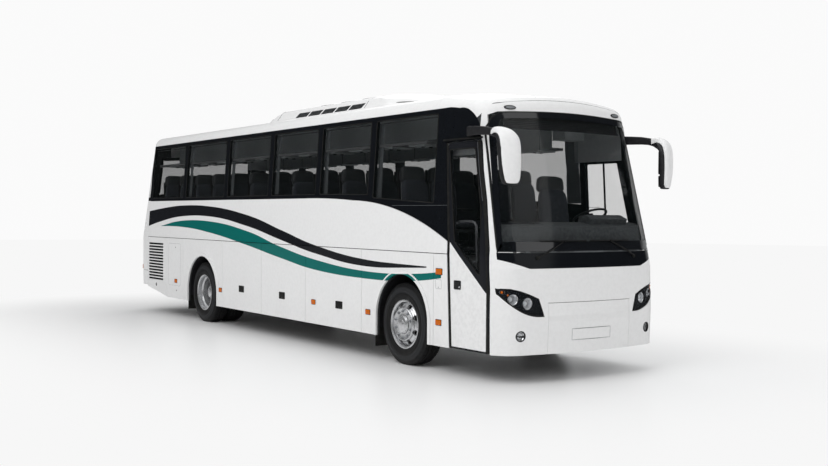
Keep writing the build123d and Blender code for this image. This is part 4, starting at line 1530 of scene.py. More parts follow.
@dataclass
class RearWheels(Rim):
    """Twin rear wheels: the outer disc is dished inwards round a plain domed hub."""

    axle_x: float = -WHEELBASE

    def build(self) -> None:
        """Builds both tyres and the pair of wheels of this side."""
        inner = self.centre - Vector((0, self.side.value * TWIN_PITCH, 0))
        word = self.side.word
        body = f"rear_wheels_{word}"
        tyres = joined(f"rear_tyres_{word}", Tyre().build(self.centre) + Tyre().build(inner))
        settle(tyres, body, "tyre_rubber", [f"tyres_rear_{word}"])
        disc = self.disc((0.264, 0.012), (0.264, -0.02), (0.258, -0.052), (0.246, -0.078), (0.222, -0.098),
            (0.205, -0.106), (0.188, -0.108), (0.117, -0.108), (0.117, -0.132), (0.188, -0.132),
            (0.212, -0.128), (0.236, -0.1), (0.25, -0.06), (0.252, 0.012))
        hub = self.turned(((0.1165, -0.135), (0.1165, -0.06), (0.112, -0.052), (0.108, 0.0), (0.102, 0.01),
            (0.088, 0.014), (0.084, 0.03), (0.066, 0.038), (0.03, 0.041), (0.0, 0.0415)),
            ((0.1165, -0.135), (0.0, -0.135)), finish=Paint.alloy)
        bolts = self.bolts(10, 0.096, Paint.chrome, (6, ((0.0075, 0.006), (0.0075, 0.02))))
        wheel = joined(f"rear_rims_{word}", [self.barrel(0.0, -TWIN_PITCH), disc, hub, bolts,
            self.nuts(-0.108), self.valve(-0.04)])
        settle(wheel, body, "alloy", [f"wheels_rear_{word}"])


# ---- mirrors ----


@dataclass
class Mirror:
    """A hanging mirror head: a white shell sweeping down from the arm over a dark housing."""

    side: Side
    centre: tuple[float, float] = (2.052, 1.241)
    toe: float = 20.0
    # ahead, height, inboard edge, outboard edge, wrap over the edges
    spine: tuple[tuple[float, float, float, float, float], ...] = ((-0.215, 2.842, 0.066, 0.146, 0.05),
        (-0.15, 2.85, 0.026, 0.144, 0.046), (-0.085, 2.842, -0.026, 0.138, 0.04),
        (-0.02, 2.816, -0.072, 0.13, 0.034), (0.03, 2.768, -0.1, 0.122, 0.03),
        (0.058, 2.7, -0.114, 0.116, 0.028), (0.07, 2.6, -0.12, 0.112, 0.026),
        (0.073, 2.48, -0.121, 0.104, 0.025), (0.068, 2.37, -0.119, 0.09, 0.023),
        (0.058, 2.28, -0.113, 0.072, 0.02), (0.046, 2.24, -0.1, 0.054, 0.016))

    def place(self, out: float, ahead: float, z: float) -> Vector:
        """A point of the head, measured outwards and forwards from its middle.

        Args:
            out: Distance outwards.
            ahead: Distance forwards.
            z: Height.

        Returns:
            The point.
        """
        toe = radians(self.toe)
        outward = Vector((-sin(toe), self.side.value * cos(toe), 0.0))
        forward = Vector((cos(toe), self.side.value * sin(toe), 0.0))
        middle = at(self.centre[0], self.side.value * self.centre[1], z)
        return middle + outward * out + forward * ahead

    def stations(self, steps: int = 4) -> list[list[float]]:
        """The spine's rows, smoothly filled in.

        Args:
            steps: Rows made from each row.

        Returns:
            The rows.
        """
        rows = [self.spine[0], *self.spine, self.spine[-1]]
        filled = []
        for n in range(1, len(rows) - 2):
            for k in range(steps):
                t = k / steps
                filled.append([0.5 * (2 * b + (c - a) * t + (2 * a - 5 * b + 4 * c - d) * t * t
                    + (3 * b - a - 3 * c + d) * t ** 3) for a, b, c, d in zip(*rows[n - 1:n + 3])])
        return filled + [list(self.spine[-1])]

    def shell(self) -> None:
        """The painted shell, arched across and wrapped over its edges."""
        rows = self.stations()
        rings = []
        for n, (ahead, z, inner, outer, wrap) in enumerate(rows):
            before, after = rows[max(n - 1, 0)], rows[min(n + 1, len(rows) - 1)]
            along = Vector((after[0] - before[0], after[1] - before[1])).normalized()
            up = Vector((-along.y, along.x))
            skin, lining = [], []
            for k in range(17):
                u = sin(pi / 2 * (k / 8 - 1))
                out = inner + (outer - inner) * (u + 1) / 2
                rise = 0.016 * (1 - u * u) - wrap * abs(u) ** 5
                skin.append(self.place(out, ahead + up.x * rise, z + up.y * rise))
                rise -= 0.01
                lining.append(self.place(out * 0.93, ahead + up.x * rise, z + up.y * rise))
            rings.append(skin + lining[::-1])
        shape = Shape()
        shape.solid(rings)
        shape.finish(f"mirror_shell_{self.side.word}", [Paint.plain_white], "body_white", smooth=50,
            replaces=["mirror_heads"])

    def housing(self) -> None:
        """The dark housing behind the shell, closed below by a sill."""
        shape = Shape()
        rings = []
        for z, inner, outer, back, front in ((2.222, -0.086, 0.046, -0.018, 0.028),
                (2.228, -0.106, 0.066, -0.026, 0.044), (2.25, -0.116, 0.084, -0.03, 0.046),
                (2.3, -0.12, 0.102, -0.032, 0.052), (2.4, -0.122, 0.118, -0.034, 0.056),
                (2.5, -0.122, 0.127, -0.036, 0.058), (2.62, -0.121, 0.132, -0.04, 0.054),
                (2.69, -0.117, 0.134, -0.05, 0.04), (2.74, -0.1, 0.134, -0.07, 0.01),
                (2.775, -0.066, 0.13, -0.092, -0.03), (2.8, -0.02, 0.124, -0.116, -0.066)):
            middle, half = (inner + outer) / 2, (outer - inner) / 2
            centre, deep = (back + front) / 2, (front - back) / 2
            rings.append([self.place(middle + half * signed_power(cos(a), 0.45), centre + deep
                * signed_power(sin(a), 0.6), z) for a in turns(32)])
        shape.solid(rings)
        shape.finish(f"mirror_housing_{self.side.word}", [Paint.trim], "trim_black", smooth=50,
            replaces=["mirror_heads"])

    def glass(self, word: str, corners: Outline, bulge: float) -> None:
        """A framed glass on the housing's rear face.

        Args:
            word: Its name.
            corners: Its corners, outwards and up.
            bulge: How far its middle stands out.
        """
        shape = Shape()
        line = rounded(corners, 0.026)
        middle = Vector((sum(u for u, _ in line), sum(v for _, v in line))) / len(line)
        edge = [self.place(u, -0.03, v) for u, v in line]
        rim = [self.place(u, -0.043, v) for u, v in line]
        lip = [self.place(u, -0.043, v) for u, v in inset(line, 0.004)]
        shape.loft([edge, rim, lip], mat=1)
        shape.loft([[self.place(middle.x + (u - middle.x) * share, -0.0415 - bulge * (1 - share * share),
            middle.y + (v - middle.y) * share) for u, v in inset(line, 0.004)]
            for share in (1.0, 0.7, 0.4, 0.1)], caps=(False, True))
        shape.finish(f"mirror_glass_{word}_{self.side.word}", [Paint.mirror_glass, Paint.rubber],
            "lamp_chrome", smooth=40)

    def build(self) -> None:
        """Builds the head, both glasses and the arm."""
        self.shell()
        self.housing()
        self.glass("main", ((-0.108, 2.4), (0.108, 2.4), (0.112, 2.69), (-0.106, 2.69)), 0.0012)
        self.glass("wide", ((-0.098, 2.246), (0.062, 2.246), (0.1, 2.33), (0.104, 2.384), (-0.106, 2.384)),
            0.005)
        self.arm()

    def arm(self) -> None:
        """The arm: a square root block on the pillar, then a bar that dips into the head."""
        shape = Shape()
        # X, distance from the centre line, height, half height, half width
        path = ((1.205, 1.12, 2.852, 0.056, 0.034), (1.262, 1.176, 2.852, 0.06, 0.036),
            (1.33, 1.21, 2.852, 0.06, 0.036), (1.35, 1.216, 2.852, 0.054, 0.031),
            (1.48, 1.252, 2.848, 0.052, 0.029), (1.64, 1.268, 2.838, 0.048, 0.028),
            (1.76, 1.272, 2.822, 0.044, 0.028), (1.85, 1.27, 2.8, 0.044, 0.03),
            (1.93, 1.266, 2.762, 0.046, 0.036), (1.985, 1.262, 2.715, 0.044, 0.04))
        rings = []
        for n, (x, y, z, tall, wide) in enumerate(path):
            before, after = path[max(n - 1, 0)], path[min(n + 1, len(path) - 1)]
            along = Vector((after[0] - before[0], self.side.value * (after[1] - before[1]), 0))
            across = Vector((along.y, -along.x, 0)).normalized()
            rings.append([at(x, self.side.value * y, z) + across * wide * signed_power(cos(a), 0.35)
                + Vector((0, 0, tall * signed_power(sin(a), 0.35))) for a in turns(28)])
        shape.solid(rings)
        shape.finish(f"mirror_arm_{self.side.word}", [Paint.trim], "trim_black", smooth=40,
            replaces=["mirror_arms"])


# ---- windows and curtains ----


@dataclass
class SideWindows:
    """The seals round one side's windows, with curtains and their rails inside."""

    side: Side
    # rear edge, front edge, sill at each
    openings: tuple[Quad, ...] = ((-8.64, -7.135, 2.165, 2.165), (-7.005, -5.375, 2.165, 2.165),
        (-5.245, -3.765, 2.165, 2.165), (-3.635, -2.27, 2.165, 2.165), (-2.14, -0.86, 2.165, 2.15),
        (-0.73, 0.64, 2.105, 2.03))
    top: float = 3.105
    driver: Outline = ((0.738, 1.79), (1.487, 1.79), (1.319, 2.575), (0.738, 2.575))
    curtain_width: float = 0.115
    curtain_gap: float = 0.066
    rail_z: float = 3.075
    hem: float = 0.022

    def build(self) -> None:
        """Builds the seals, the ends of the dark band, the rails and the curtains."""
        self.seals()
        self.band_ends()
        self.rails()
        starts = [x0 - 0.04 for x0, *_ in self.openings[1:]]
        starts.append(self.openings[-1][1] + 0.04 - self.curtain_width)
        sills = [z1 for *_, z1 in self.openings] + [self.openings[-1][3]]
        for n, x in enumerate(starts, start=1):
            self.curtain(n, x, sills[n] + self.hem)

    def seals(self) -> None:
        """A slim rubber lip over the joint round every pane."""
        shape = Shape()
        outlines = [((x0, z0), (x1, z1), (x1, self.top), (x0, self.top))
            for x0, x1, z0, z1 in self.openings]
        if self.side is Side.LEFT:
            outlines.append(self.driver)
        for corners in outlines:
            middle = rounded(corners, 0.03, 6)
            outer, inner = inset(middle, -0.006), inset(middle, 0.009)
            shape.frame(outer, inner, side_lift(self.side), -0.004, 0.0012)
        if self.side is Side.LEFT:
            bar = rect(1.038, 1.795, 1.062, 2.57)
            shape.plate(bar, side_lift(self.side), -0.012, 0.0015)
        shape.finish(f"window_seals_{self.side.word}", [Paint.rubber], "gloss_black")

    def band_ends(self) -> None:
        """The rounded front top of the dark band and its raked rear end."""
        shape = Shape()
        arc = arc_through((1.44, 2.826), (1.336, 3.046), (1.06, 3.143), 14)
        nose = arc + [(0.96, 3.158), (0.87, 3.1675), (0.87, 2.9), (1.2, 2.79)]

        def round_front(x: float, z: float, out: float) -> Vector:
            """A point on the side's skin, round the front corner too."""
            y = min(skin_y(x - out * 0.4, z), side_y(z)) + out
            return at(x, self.side.value * y, z)

        heart = (1.08, 2.96)
        rings = [[round_front(u, v, -0.003) for u, v in nose]]
        for share in (1.0, 0.96, 0.9, 0.82, 0.72, 0.6):
            rings.append([round_front(heart[0] + (u - heart[0]) * share, heart[1] + (v - heart[1]) * share,
                0.002) for u, v in nose])
        rings.append([round_front(heart[0] + (u - heart[0]) * 0.6, heart[1] + (v - heart[1]) * 0.6, -0.003)
            for u, v in nose])
        shape.loft(rings + rings[:1])
        tail = fine(((-8.846, 2.118), (-8.69, 2.118), (-8.69, 3.164), (-8.758, 3.164)), 0.1)
        shape.solid([[at(x, self.side.value * SmallLamps.corner_y(x, z, out), z) for x, z in tail]
            for out in (-0.003, 0.0015)])
        shape.finish(f"band_ends_{self.side.word}", [Paint.gloss_black], "gloss_black")

    def wall(self, x: float, z: float, gap: float) -> Vector:
        """A point inside the side wall."""
        return on_side(x, z, self.side, -gap)

    def rails(self) -> None:
        """The slim rail along the windows that the curtains hang from."""
        shape = Shape()
        z = self.rail_z
        path = [self.wall(x, z, self.curtain_gap) for x in (-8.62, -6.0, -3.0, 0.62)]
        shape.tube(path, 0.006, 8)
        for x, *_ in self.openings:
            low, high = self.wall(x - 0.075, z, self.curtain_gap), self.wall(x - 0.055, z, 0.04)
            shape.block(Vector((low.x, min(low.y, high.y), low.z - 0.005)),
                Vector((high.x, max(low.y, high.y), low.z + 0.005)))
        shape.finish(f"curtain_rails_{self.side.word}", [Paint.rack], "rack_grey")

    def curtain(self, number: int, start: float, low: float) -> None:
        """One curtain gathered beside a pillar, tied in a little at half height.

        Args:
            number: Its place in the row, from the rear.
            start: Its rear edge's X.
            low: Height of its hem.
        """
        pleats, depth, rows = round(self.curtain_width / 0.023), 0.013, 26
        high = self.rail_z - 0.004
        columns = pleats * 8
        shape = Shape()
        grid = []
        for j in range(rows + 1):
            t = j / rows
            z = high + (low - high) * t
            tie = 1.0 - 0.1 * exp(-((t - 0.55) / 0.12) ** 2)
            row = []
            for k in range(columns + 1):
                u = k / columns
                wave = sin(2 * pi * pleats * u + 0.7 * sin(3.1 * t + number))
                fold = depth * (0.75 + 0.25 * cos(5 * u + 2.2 * t + number)) * tie
                x = start + self.curtain_width * (0.5 + (u - 0.5) * tie)
                row.append(self.wall(x, z, self.curtain_gap + 0.016 + fold * wave))
            grid.append(row)
        shape.loft(grid, closed=False)
        name = f"curtain_{self.side.word}_{number}"
        piece = shape.finish(name, [Paint.curtain], "seat_cloth", smooth=180)
        round(high - low, 3)


@dataclass
class Windscreen:
    """The black printed border of the windshield, its seal, the sun blind and the wipers."""

    foot: tuple[float, float] = (1.813, 1.478)
    rake: float = 0.2385
    border: float = 0.04

    def edge_y(self, z: float) -> float:
        """Half width of the glass at height z, where its raked side edge runs.

        Args:
            z: Height.

        Returns:
            The half width.
        """
        x = self.foot[0] - self.rake * (z - 1.475)
        if z > 2.9:
            x = 1.6837 - sqrt(max(0.0, 0.181 ** 2 - (z - 2.9344) ** 2))
        return min(skin_y(x, z), self.top_limit(z))

    @staticmethod
    def top_limit(z: float) -> float:
        """Half width that the rounded top of the glass leaves at height z.

        Args:
            z: Height.

        Returns:
            The half width.
        """
        if z < 2.88:
            return 1.21
        return 1.06 + sqrt(max(0.0, 0.15 ** 2 - (z - 2.915) ** 2))

    def outline(self) -> Points:
        """The glass outline as (Y, Z), anticlockwise from the lower right corner.

        Returns:
            The outline.
        """
        heights = [1.478 + (3.06 - 1.478) * k / 26 for k in range(27)]
        side = [(self.edge_y(z), z) for z in heights]
        top_y = side[-1][0]
        top = [(top_y * (1 - 2 * k / 16), 3.066 + 0.036 * (1 - (1 - 2 * k / 16) ** 2))
            for k in range(1, 16)]
        foot_y = side[0][0]
        foot = [(foot_y * (-1 + 2 * k / 16), 1.478) for k in range(1, 16)]
        return side + top + [(-y, z) for y, z in reversed(side)] + foot

    def band_widths(self, line: Outline) -> list[float]:
        """How wide the printed border is at each point of the outline.

        Args:
            line: The outline.

        Returns:
            The widths.
        """
        widths = []
        for _, z in line:
            wide = self.border + 0.045 * min(1.0, max(0.0, (z - 1.5) / 1.4))
            if z > 3.04:
                wide = 0.075
            elif z < 1.49:
                wide = 0.115
            widths.append(wide)
        return widths

    def build(self) -> None:
        """Builds the border, the seal, the blind and both wipers."""
        line = self.outline()
        lift = front_lift(Side.LEFT)
        border = Shape()
        border.frame(line, inset(line, self.band_widths(line)), lift, -0.004, 0.002)
        border.finish("windshield_border", [Paint.print_black], "gloss_black")
        strip = rounded(rect(-1.205, 1.466, 1.205, 1.483), 0.003)
        border = Shape()
        border.plate(fine(strip, 0.04), lift, -0.022, 0.004, edge=0.001)
        border.finish("windshield_foot", [Paint.dash], "gloss_black")
        seal = Shape()
        seal.frame(inset(line, -0.005), inset(line, 0.006), lift, -0.0045, 0.003)
        seal.finish("windshield_seal", [Paint.rubber], "gloss_black")
        self.blind()
        for side in Side:
            self.wiper(side)

    def blind(self) -> None:
        """A ribbed sun blind, drawn a little way down behind the glass."""
        shape = Shape()
        rings = []
        for k in range(15):
            z = 3.05 - 0.15 * k / 14
            drop = 0.06 + (0.004 if k % 2 else 0.0)
            rings.append([on_front(y, z, -drop) for y in (-0.93 + 1.86 * n / 30 for n in range(31))])
        shape.loft(rings, closed=False)
        rail = [on_front(-0.94 + 1.88 * n / 20, 2.898, -0.062) for n in range(21)]
        shape.tube(rail, 0.011, 10)
        shape.finish("sun_blind", [Paint.trim], "trim_black", smooth=20)

    def wiper(self, side: Side) -> None:
        """A wiper parked low: spindle cap, tapered arm, link and hinged blade.

        Args:
            side: Which side of the coach.
        """
        shape = Shape()
        hub_y, hub_z = 0.767, 1.412
        lift = front_lift(side)
        hub = lift(hub_y, hub_z, 0.0)
        shape.tube([hub + Vector((-0.02, 0, 0)), hub + Vector((0.012, 0, 0))], 0.024, 20)
        shape.tube([hub + Vector((0.008, 0, 0)), hub + Vector((0.019, 0, 0.001))], 0.017, 20)
        path = [lift(hub_y + (0.365 - hub_y) * t, hub_z + (1.601 - hub_z) * t, 0.016 + 0.02
            * sin(pi * min(1.0, t * 1.1))) for t in (k / 10 for k in range(11))]
        for n, (a, b) in enumerate(zip(path, path[1:])):
            shape.tube([a, b], 0.0105 - 0.0007 * n, 10)
        link = [p + Vector((0.0, side.value * 0.02, -0.018)) for p in path[3:]]
        shape.tube(link, 0.0035, 8)
        middle = lift(0.365, 1.601, 0.028)
        shape.tube([middle + Vector((0.01, 0, 0)), middle - Vector((0.012, 0, 0))], 0.013, 14)
        for z0, z1, low, high in ((1.5965, 1.6055, 0.0005, 0.01), (1.593, 1.609, 0.008, 0.02)):
            rings = []
            for k in range(21):
                y = 0.03 + 0.67 * k / 20
                thin = 1.0 - 0.5 * abs(k / 10 - 1) ** 3 if high > 0.015 else 1.0
                top = low + (high - low) * thin
                rings.append([lift(y, z0, low), lift(y, z0, top), lift(y, z1, top), lift(y, z1, low)])
            shape.solid(rings)
        for y in (0.16, 0.28, 0.45, 0.57):
            a, b = lift(y, 1.601, 0.017), lift(0.365 + (y - 0.365) * 0.35, 1.601, 0.027)
            shape.tube([a, b], 0.004, 8)
        shape.finish(f"wiper_{side.word}", [Paint.rubber], "trim_black", replaces=["wipers"])


# ---- lamps ----


@dataclass
class Headlamp:
    """The inside of one headlamp: two ringed reflectors, small lamps and a dark edge."""

    side: Side
    # distance from the centre line, height, radius, how deep the bowl stands
    bowls: tuple[Quad, ...] = ((1.075, 0.948, 0.062, 0.03), (0.905, 0.9, 0.066, 0.016))
    outline: Outline = ((0.702, 0.75), (0.85, 0.77), (0.985, 0.81), (1.11, 0.89), (1.225, 1.01),
        (1.232, 1.072), (1.115, 1.068), (1.0, 1.04), (0.885, 1.0), (0.772, 0.952))

    def reflector(self, shape: Shape, y: float, z: float, radius: float, back: float, mat: int = 0) -> None:
        """A bright ring, a deep bowl and a lens ball at its foot, facing forwards.

        Args:
            shape: The shape to add to.
            y: Distance from the centre line.
            z: Height.
            radius: Its radius.
            back: How deep it stands.
            mat: Finish index.
        """
        face = on_front(y, z, 0.0).x - AXLE_X
        slant = (front_x(y + radius, z) - front_x(y - radius, z)) / (2 * radius)
        base = face - 0.018 - back
        profile = ((radius * 1.03, -0.03), (radius * 1.03, 0.002), (radius * 0.99, 0.006),
            (radius * 0.92, 0.003), (radius * 0.86, -0.012), (radius * 0.7, -0.038),
            (radius * 0.45, -0.056), (radius * 0.2, -0.06), (0.0005, -0.06))
        rings = [[at(base + out + slant * r * cos(a) * (1.0 if out > -0.02 else 0.3), self.side.value
            * (y + r * cos(a)), z + r * sin(a)) for a in turns(40)] for r, out in profile]
        rings = [[p - Vector((0.006, 0, 0)) for p in rings[0]]] + rings
        shape.solid(rings, mat=mat)

    def ball(self, shape: Shape, y: float, z: float, out: float, radius: float, mat: int) -> None:
        """A small round lens.

        Args:
            shape: The shape to add to.
            y: Distance from the centre line.
            z: Height.
            out: How far ahead of the front axle.
            radius: Its radius.
            mat: Finish index.
        """
        centre = at(out, self.side.value * y, z)
        rings = []
        for k in range(9):
            b = -pi / 2 + pi * k / 8
            r, rise = max(0.0002, radius * cos(b)), radius * sin(b)
            rings.append([centre + Vector((rise * 0.8, r * cos(a), r * sin(a))) for a in turns(20)])
        shape.solid(rings, mat=mat)

    def build(self) -> None:
        """Builds everything inside the lamp and the lamp's edge."""
        shape = Shape()
        for n, (y, z, radius, back) in enumerate(self.bowls):
            self.reflector(shape, y, z, radius, back)
            base = front_x(y, z) - 0.018 - back
            self.ball(shape, y, z, base - 0.034, radius * (0.4 if n else 0.46), 2)
        for y, z, r in ((1.178, 1.03, 0.017), (1.128, 1.0, 0.013)):
            base = front_x(y, z)
            self.ball(shape, y, z, base - 0.022, r, 1)
            self.reflector(shape, y, z, r * 1.25, 0.004)
        for y, z, r in ((1.14, 0.93, 0.02), (0.99, 0.868, 0.019), (0.985, 0.93, 0.014),
                (0.815, 0.862, 0.02), (0.77, 0.82, 0.015)):
            self.reflector(shape, y, z, r, 0.002)
        shape.finish(f"headlamp_optics_{self.side.word}", [Paint.chrome, Paint.amber, Paint.pearl],
            "lamp_chrome", replaces=["lamp_units"])
        line = fine(self.outline, 0.05)
        rim = Shape()
        rim.frame(inset(line, -0.003), inset(line, 0.005), front_lift(self.side), -0.006, 0.0012)
        rim.finish(f"headlamp_edge_{self.side.word}", [Paint.rubber], "gloss_black")
        self.fog()

    def fog(self) -> None:
        """The round fog lamp low in the corner: dark ring, bright bowl and a barred lens."""
        y, z, radius = 1.0, 0.539, 0.058
        shape = Shape()
        lift = front_lift(self.side)
        ring = ellipse(y, z, radius + 0.003, radius + 0.003, 40)
        shape.frame(ring, inset(ring, 0.01), lift, -0.06, 0.001, mat=1)
        base = front_x(y, z)
        slant = (front_x(y + radius, z) - front_x(y - radius, z)) / (2 * radius)
        rings = [[at(base + out + slant * r * cos(a), self.side.value * (y + r * cos(a)), z + r * sin(a))
            for a in turns(40)] for r, out in ((0.051, -0.016), (0.046, -0.022), (0.036, -0.04),
            (0.018, -0.05), (0.0005, -0.052))]
        shape.solid([[p - Vector((0.034, 0, 0)) for p in rings[0]]] + rings)
        shape.tube([at(base - 0.014 + slant * d, self.side.value * (y + d), z) for d in (-0.046, 0.046)],
            0.004, 8, mat=1)
        self.ball(shape, y, z, base - 0.04, 0.015, 2)
        glass = ellipse(y, z, 0.049, 0.049, 40)
        shape.plate(glass, lift, -0.01, -0.007, edge=0.001, crown=0.004, mat=3)
        shape.finish(f"fog_lamp_{self.side.word}", [Paint.chrome, Paint.rubber, Paint.pearl, Paint.lens],
            "lamp_chrome", replaces=["lamp_units"])


@dataclass
class SmallLamps:
    """Marker, repeater and roof lamps, with their bases."""

    # X, Z, length, height of each amber lamp along a side
    markers: tuple[Quad, ...] = ((-7.33, 0.646, 0.12, 0.074), (-5.384, 0.604, 0.12, 0.074),
        (-2.212, 0.633, 0.12, 0.074), (-0.756, 0.607, 0.12, 0.074), (0.815, 0.608, 0.12, 0.074),
        (0.82, 1.213, 0.136, 0.08))

    def build(self) -> None:
        """Builds the lamps of both sides, the roof's front corners and the rear corners."""
        for side in Side:
            self.row(side)
        self.roof()

    def row(self, side: Side) -> None:
        """The amber lamps along one side; the one on a luggage flap rides on it.

        Args:
            side: Which side of the coach.
        """
        shape = Shape()
        flap = Shape()
        lift = side_lift(side)
        for x, z, length, height in self.markers:
            target = flap if x == -2.212 else shape
            corners = rect(x - length / 2, z - height / 2, x + length / 2, z + height / 2)
            target.plate(rounded(corners, 0.01), lift, -0.001, 0.0035, mat=1)
            small = tuple((x + (u - x) * 0.9, z + (v - z) * 0.82) for u, v in corners)
            target.plate(rounded(small, 0.009), lift, 0.002, 0.011, edge=0.003, crown=0.002)
        for x0, z in ((-9.062, 0.84), (-8.815, 3.176)):
            spot = rounded(rect(x0 - 0.035, z - 0.04, x0 + 0.035, z + 0.04), 0.012)
            corner = [at(x, side.value * self.corner_y(x, h, 0.0), h) for x, h in spot]
            proud = [at(x, side.value * self.corner_y(x, h, 0.011), h) for x, h in spot]
            middle = sum(proud, Vector()) / len(proud) + Vector((0, side.value * 0.003, 0))
            inner = [p.lerp(middle, 0.45) + Vector((0, side.value * 0.002, 0)) for p in proud]
            shape.solid([[p - Vector((0, side.value * 0.012, 0)) for p in corner], corner, proud, inner])
        finishes = [Paint.amber, Paint.rubber]
        shape.finish(f"side_lamps_{side.word}", finishes, "lamp_amber", replaces=["marker_lamps"])
        flap.finish(f"flap_lamp_{side.word}", finishes, "lamp_amber", f"luggage_flap_{side.word}_front")

    @staticmethod
    def corner_y(x: float, z: float, out: float) -> float:
        """Half width of the body round its rear corner, out from its skin.

        Args:
            x: Distance ahead of the front axle.
            z: Height.
            out: How far off the skin.

        Returns:
            The half width.
        """
        half, corner = rear_corner(z)
        past = max(0.0, rear_x(half - corner, z) + corner - x)
        return half - corner + sqrt(max(0.0, (corner + out) ** 2 - past ** 2))

    def roof(self) -> None:
        """The oval clearance lamps over the windshield, one on each side."""
        for side in Side:
            shape = Shape()
            lift = front_lift(side)
            y, z = 0.842, 3.128
            shape.plate(ellipse(y, z, 0.078, 0.026, 36), lift, -0.012, 0.01, edge=0.004, mat=1)
            shape.plate(ellipse(y, z, 0.064, 0.017, 36), lift, 0.004, 0.013, edge=0.003, crown=0.003)
            shape.finish(f"roof_lamp_{side.word}", [Paint.smoke, Paint.rubber], "lamp_chrome")


@dataclass
class FrontPlate:
    """The blank plate in its shallow frame on the front moulding."""

    half: float = 0.305
    low: float = 0.466
    high: float = 0.598

    def build(self) -> None:
        """Builds the frame line, a grey painted shade round the recess, and the blank face."""
        corners = rect(-self.half, self.low, self.half, self.high)
        lift = front_lift(Side.LEFT)
        outer = fine(corners, 0.06)
        shape = Shape()
        # grey frame round the plate: painted shade in its recess edge
        shape.frame(outer, inset(outer, 0.005), lift, -0.004, 0.0012, mat=1)
        shape.plate(inset(outer, 0.005), lift, -0.004, 0.0004, edge=0.001)
        shape.finish("front_plate", [Paint.plain_white, Paint.groove], "body_white")


# ---- side fittings ----


@dataclass
class SideFittings:
    """Latches, drip rails, service flaps, keyholes and the engine grille of one side."""

    side: Side
    # X, Z and luggage bay of each latch
    latches: tuple[tuple[float, float, str], ...] = ((-4.576, 0.671, "rear"), (-3.176, 0.66, "middle"),
        (-1.501, 0.643, "front"))
    slots: int = 13
    grille: Quad = (-8.7, 0.614, -7.915, 1.33)

    def build(self) -> None:
        """Builds every fitting of the side."""
        for x, z, bay in self.latches:
            self.latch(x, z, bay)
        self.fixed()
        if self.side is Side.RIGHT:
            self.slotted_panel()

    def latch(self, x: float, z: float, bay: str) -> None:
        """A recessed paddle latch in a black square housing.

        Args:
            x: Distance ahead of the front axle.
            z: Height.
            bay: Its luggage bay.
        """
        shape = Shape()
        lift = side_lift(self.side)
        housing = rounded(rect(x - 0.093, z - 0.052, x + 0.093, z + 0.052), 0.012)
        shape.dish(housing, lift, 0.0035, 0.0006, wall=0.006)
        paddle = rounded(rect(x - 0.07, z - 0.018, x + 0.07, z + 0.036), 0.01)
        shape.plate(paddle, lift, 0.0002, 0.0045, edge=0.003, crown=0.0015)
        barrel = ellipse(x, z - 0.034, 0.009, 0.009, 20)
        shape.plate(barrel, lift, 0.0002, 0.004, edge=0.001, mat=1)
        shape.finish(f"flap_latch_{self.side.word}_{bay}", [Paint.rubber, Paint.steel], "trim_black",
            f"luggage_flap_{self.side.word}_{bay}")

    def fixed(self) -> None:
        """What is fastened to the coach itself."""
        shape = Shape()
        lift = side_lift(self.side)
        cover = rounded(rect(0.748, 1.008, 0.868, 1.12), 0.018)
        # grey frame round the cover: painted shade in its groove
        shape.frame(cover, inset(cover, 0.0035), lift, -0.001, 0.0004, mat=1)
        shape.plate(inset(cover, 0.0045), lift, -0.001, 0.0016)
        shape.plate(ellipse(0.808, 1.026, 0.007, 0.007, 16), lift, 0.0005, 0.003, mat=2)
        service = rounded(rect(-7.69, 0.56, -7.12, 1.33), 0.05)
        # grey frame round the service flap: painted shade in its groove
        shape.frame(service, inset(service, 0.004), lift, -0.001, 0.0004, mat=1)
        for x, z, r, tall in ((-8.3, 0.529, 0.026, 0.034), (-7.357, 1.26, 0.011, 0.011),
                (-7.303, 0.475, 0.013, 0.013)):
            shape.plate(ellipse(x, z, r, tall, 24), lift, -0.001, 0.0022, mat=3)
        band = rect(-0.256, 1.999, 0.941, 2.004)
        shape.plate(fine(band, 0.1), lift, -0.001, 0.0012, edge=0.001, mat=4)
        if self.side is Side.RIGHT:
            rail = rounded(rect(0.775, 2.764, 1.52, 2.786), 0.006)
            shape.plate(rail, lift, -0.002, 0.016, edge=0.005, mat=3)
        shape.finish(f"side_fittings_{self.side.word}", [Paint.plain_white, Paint.groove, Paint.chrome,
            Paint.rubber, Paint.dash], "trim_black")

    def slotted_panel(self) -> None:
        """The engine's air inlet: a painted panel pressed with long slots over a near-black sheet, the
        painted shade of the duct.
        """
        x0, z0, x1, z1 = self.grille
        shape = Shape()
        lift = side_lift(self.side)
        pitch = (z1 - z0) / self.slots
        back = rect(x0 + 0.01, z0 + 0.01, x1 - 0.01, z1 - 0.01)
        # near-black sheet behind the slots: painted shade of the duct
        shape.plate(fine(back, 0.2), lift, -0.002, 0.0008, mat=1)
        for n in range(self.slots):
            low, high = z0 + n * pitch, z0 + (n + 1) * pitch
            cell = rounded(rect(x0, low, x1, high), 0.0004, 4)
            slot = rounded(rect(x0 + 0.028, low + 0.0105, x1 - 0.028, high - 0.0105), 0.013, 4)
            shape.frame(cell, slot, lift, 0.0004, 0.006)
        shape.finish("engine_inlet", [Paint.plain_white, Paint.void], "trim_black",
            replaces=["engine_grille"], smooth=25)


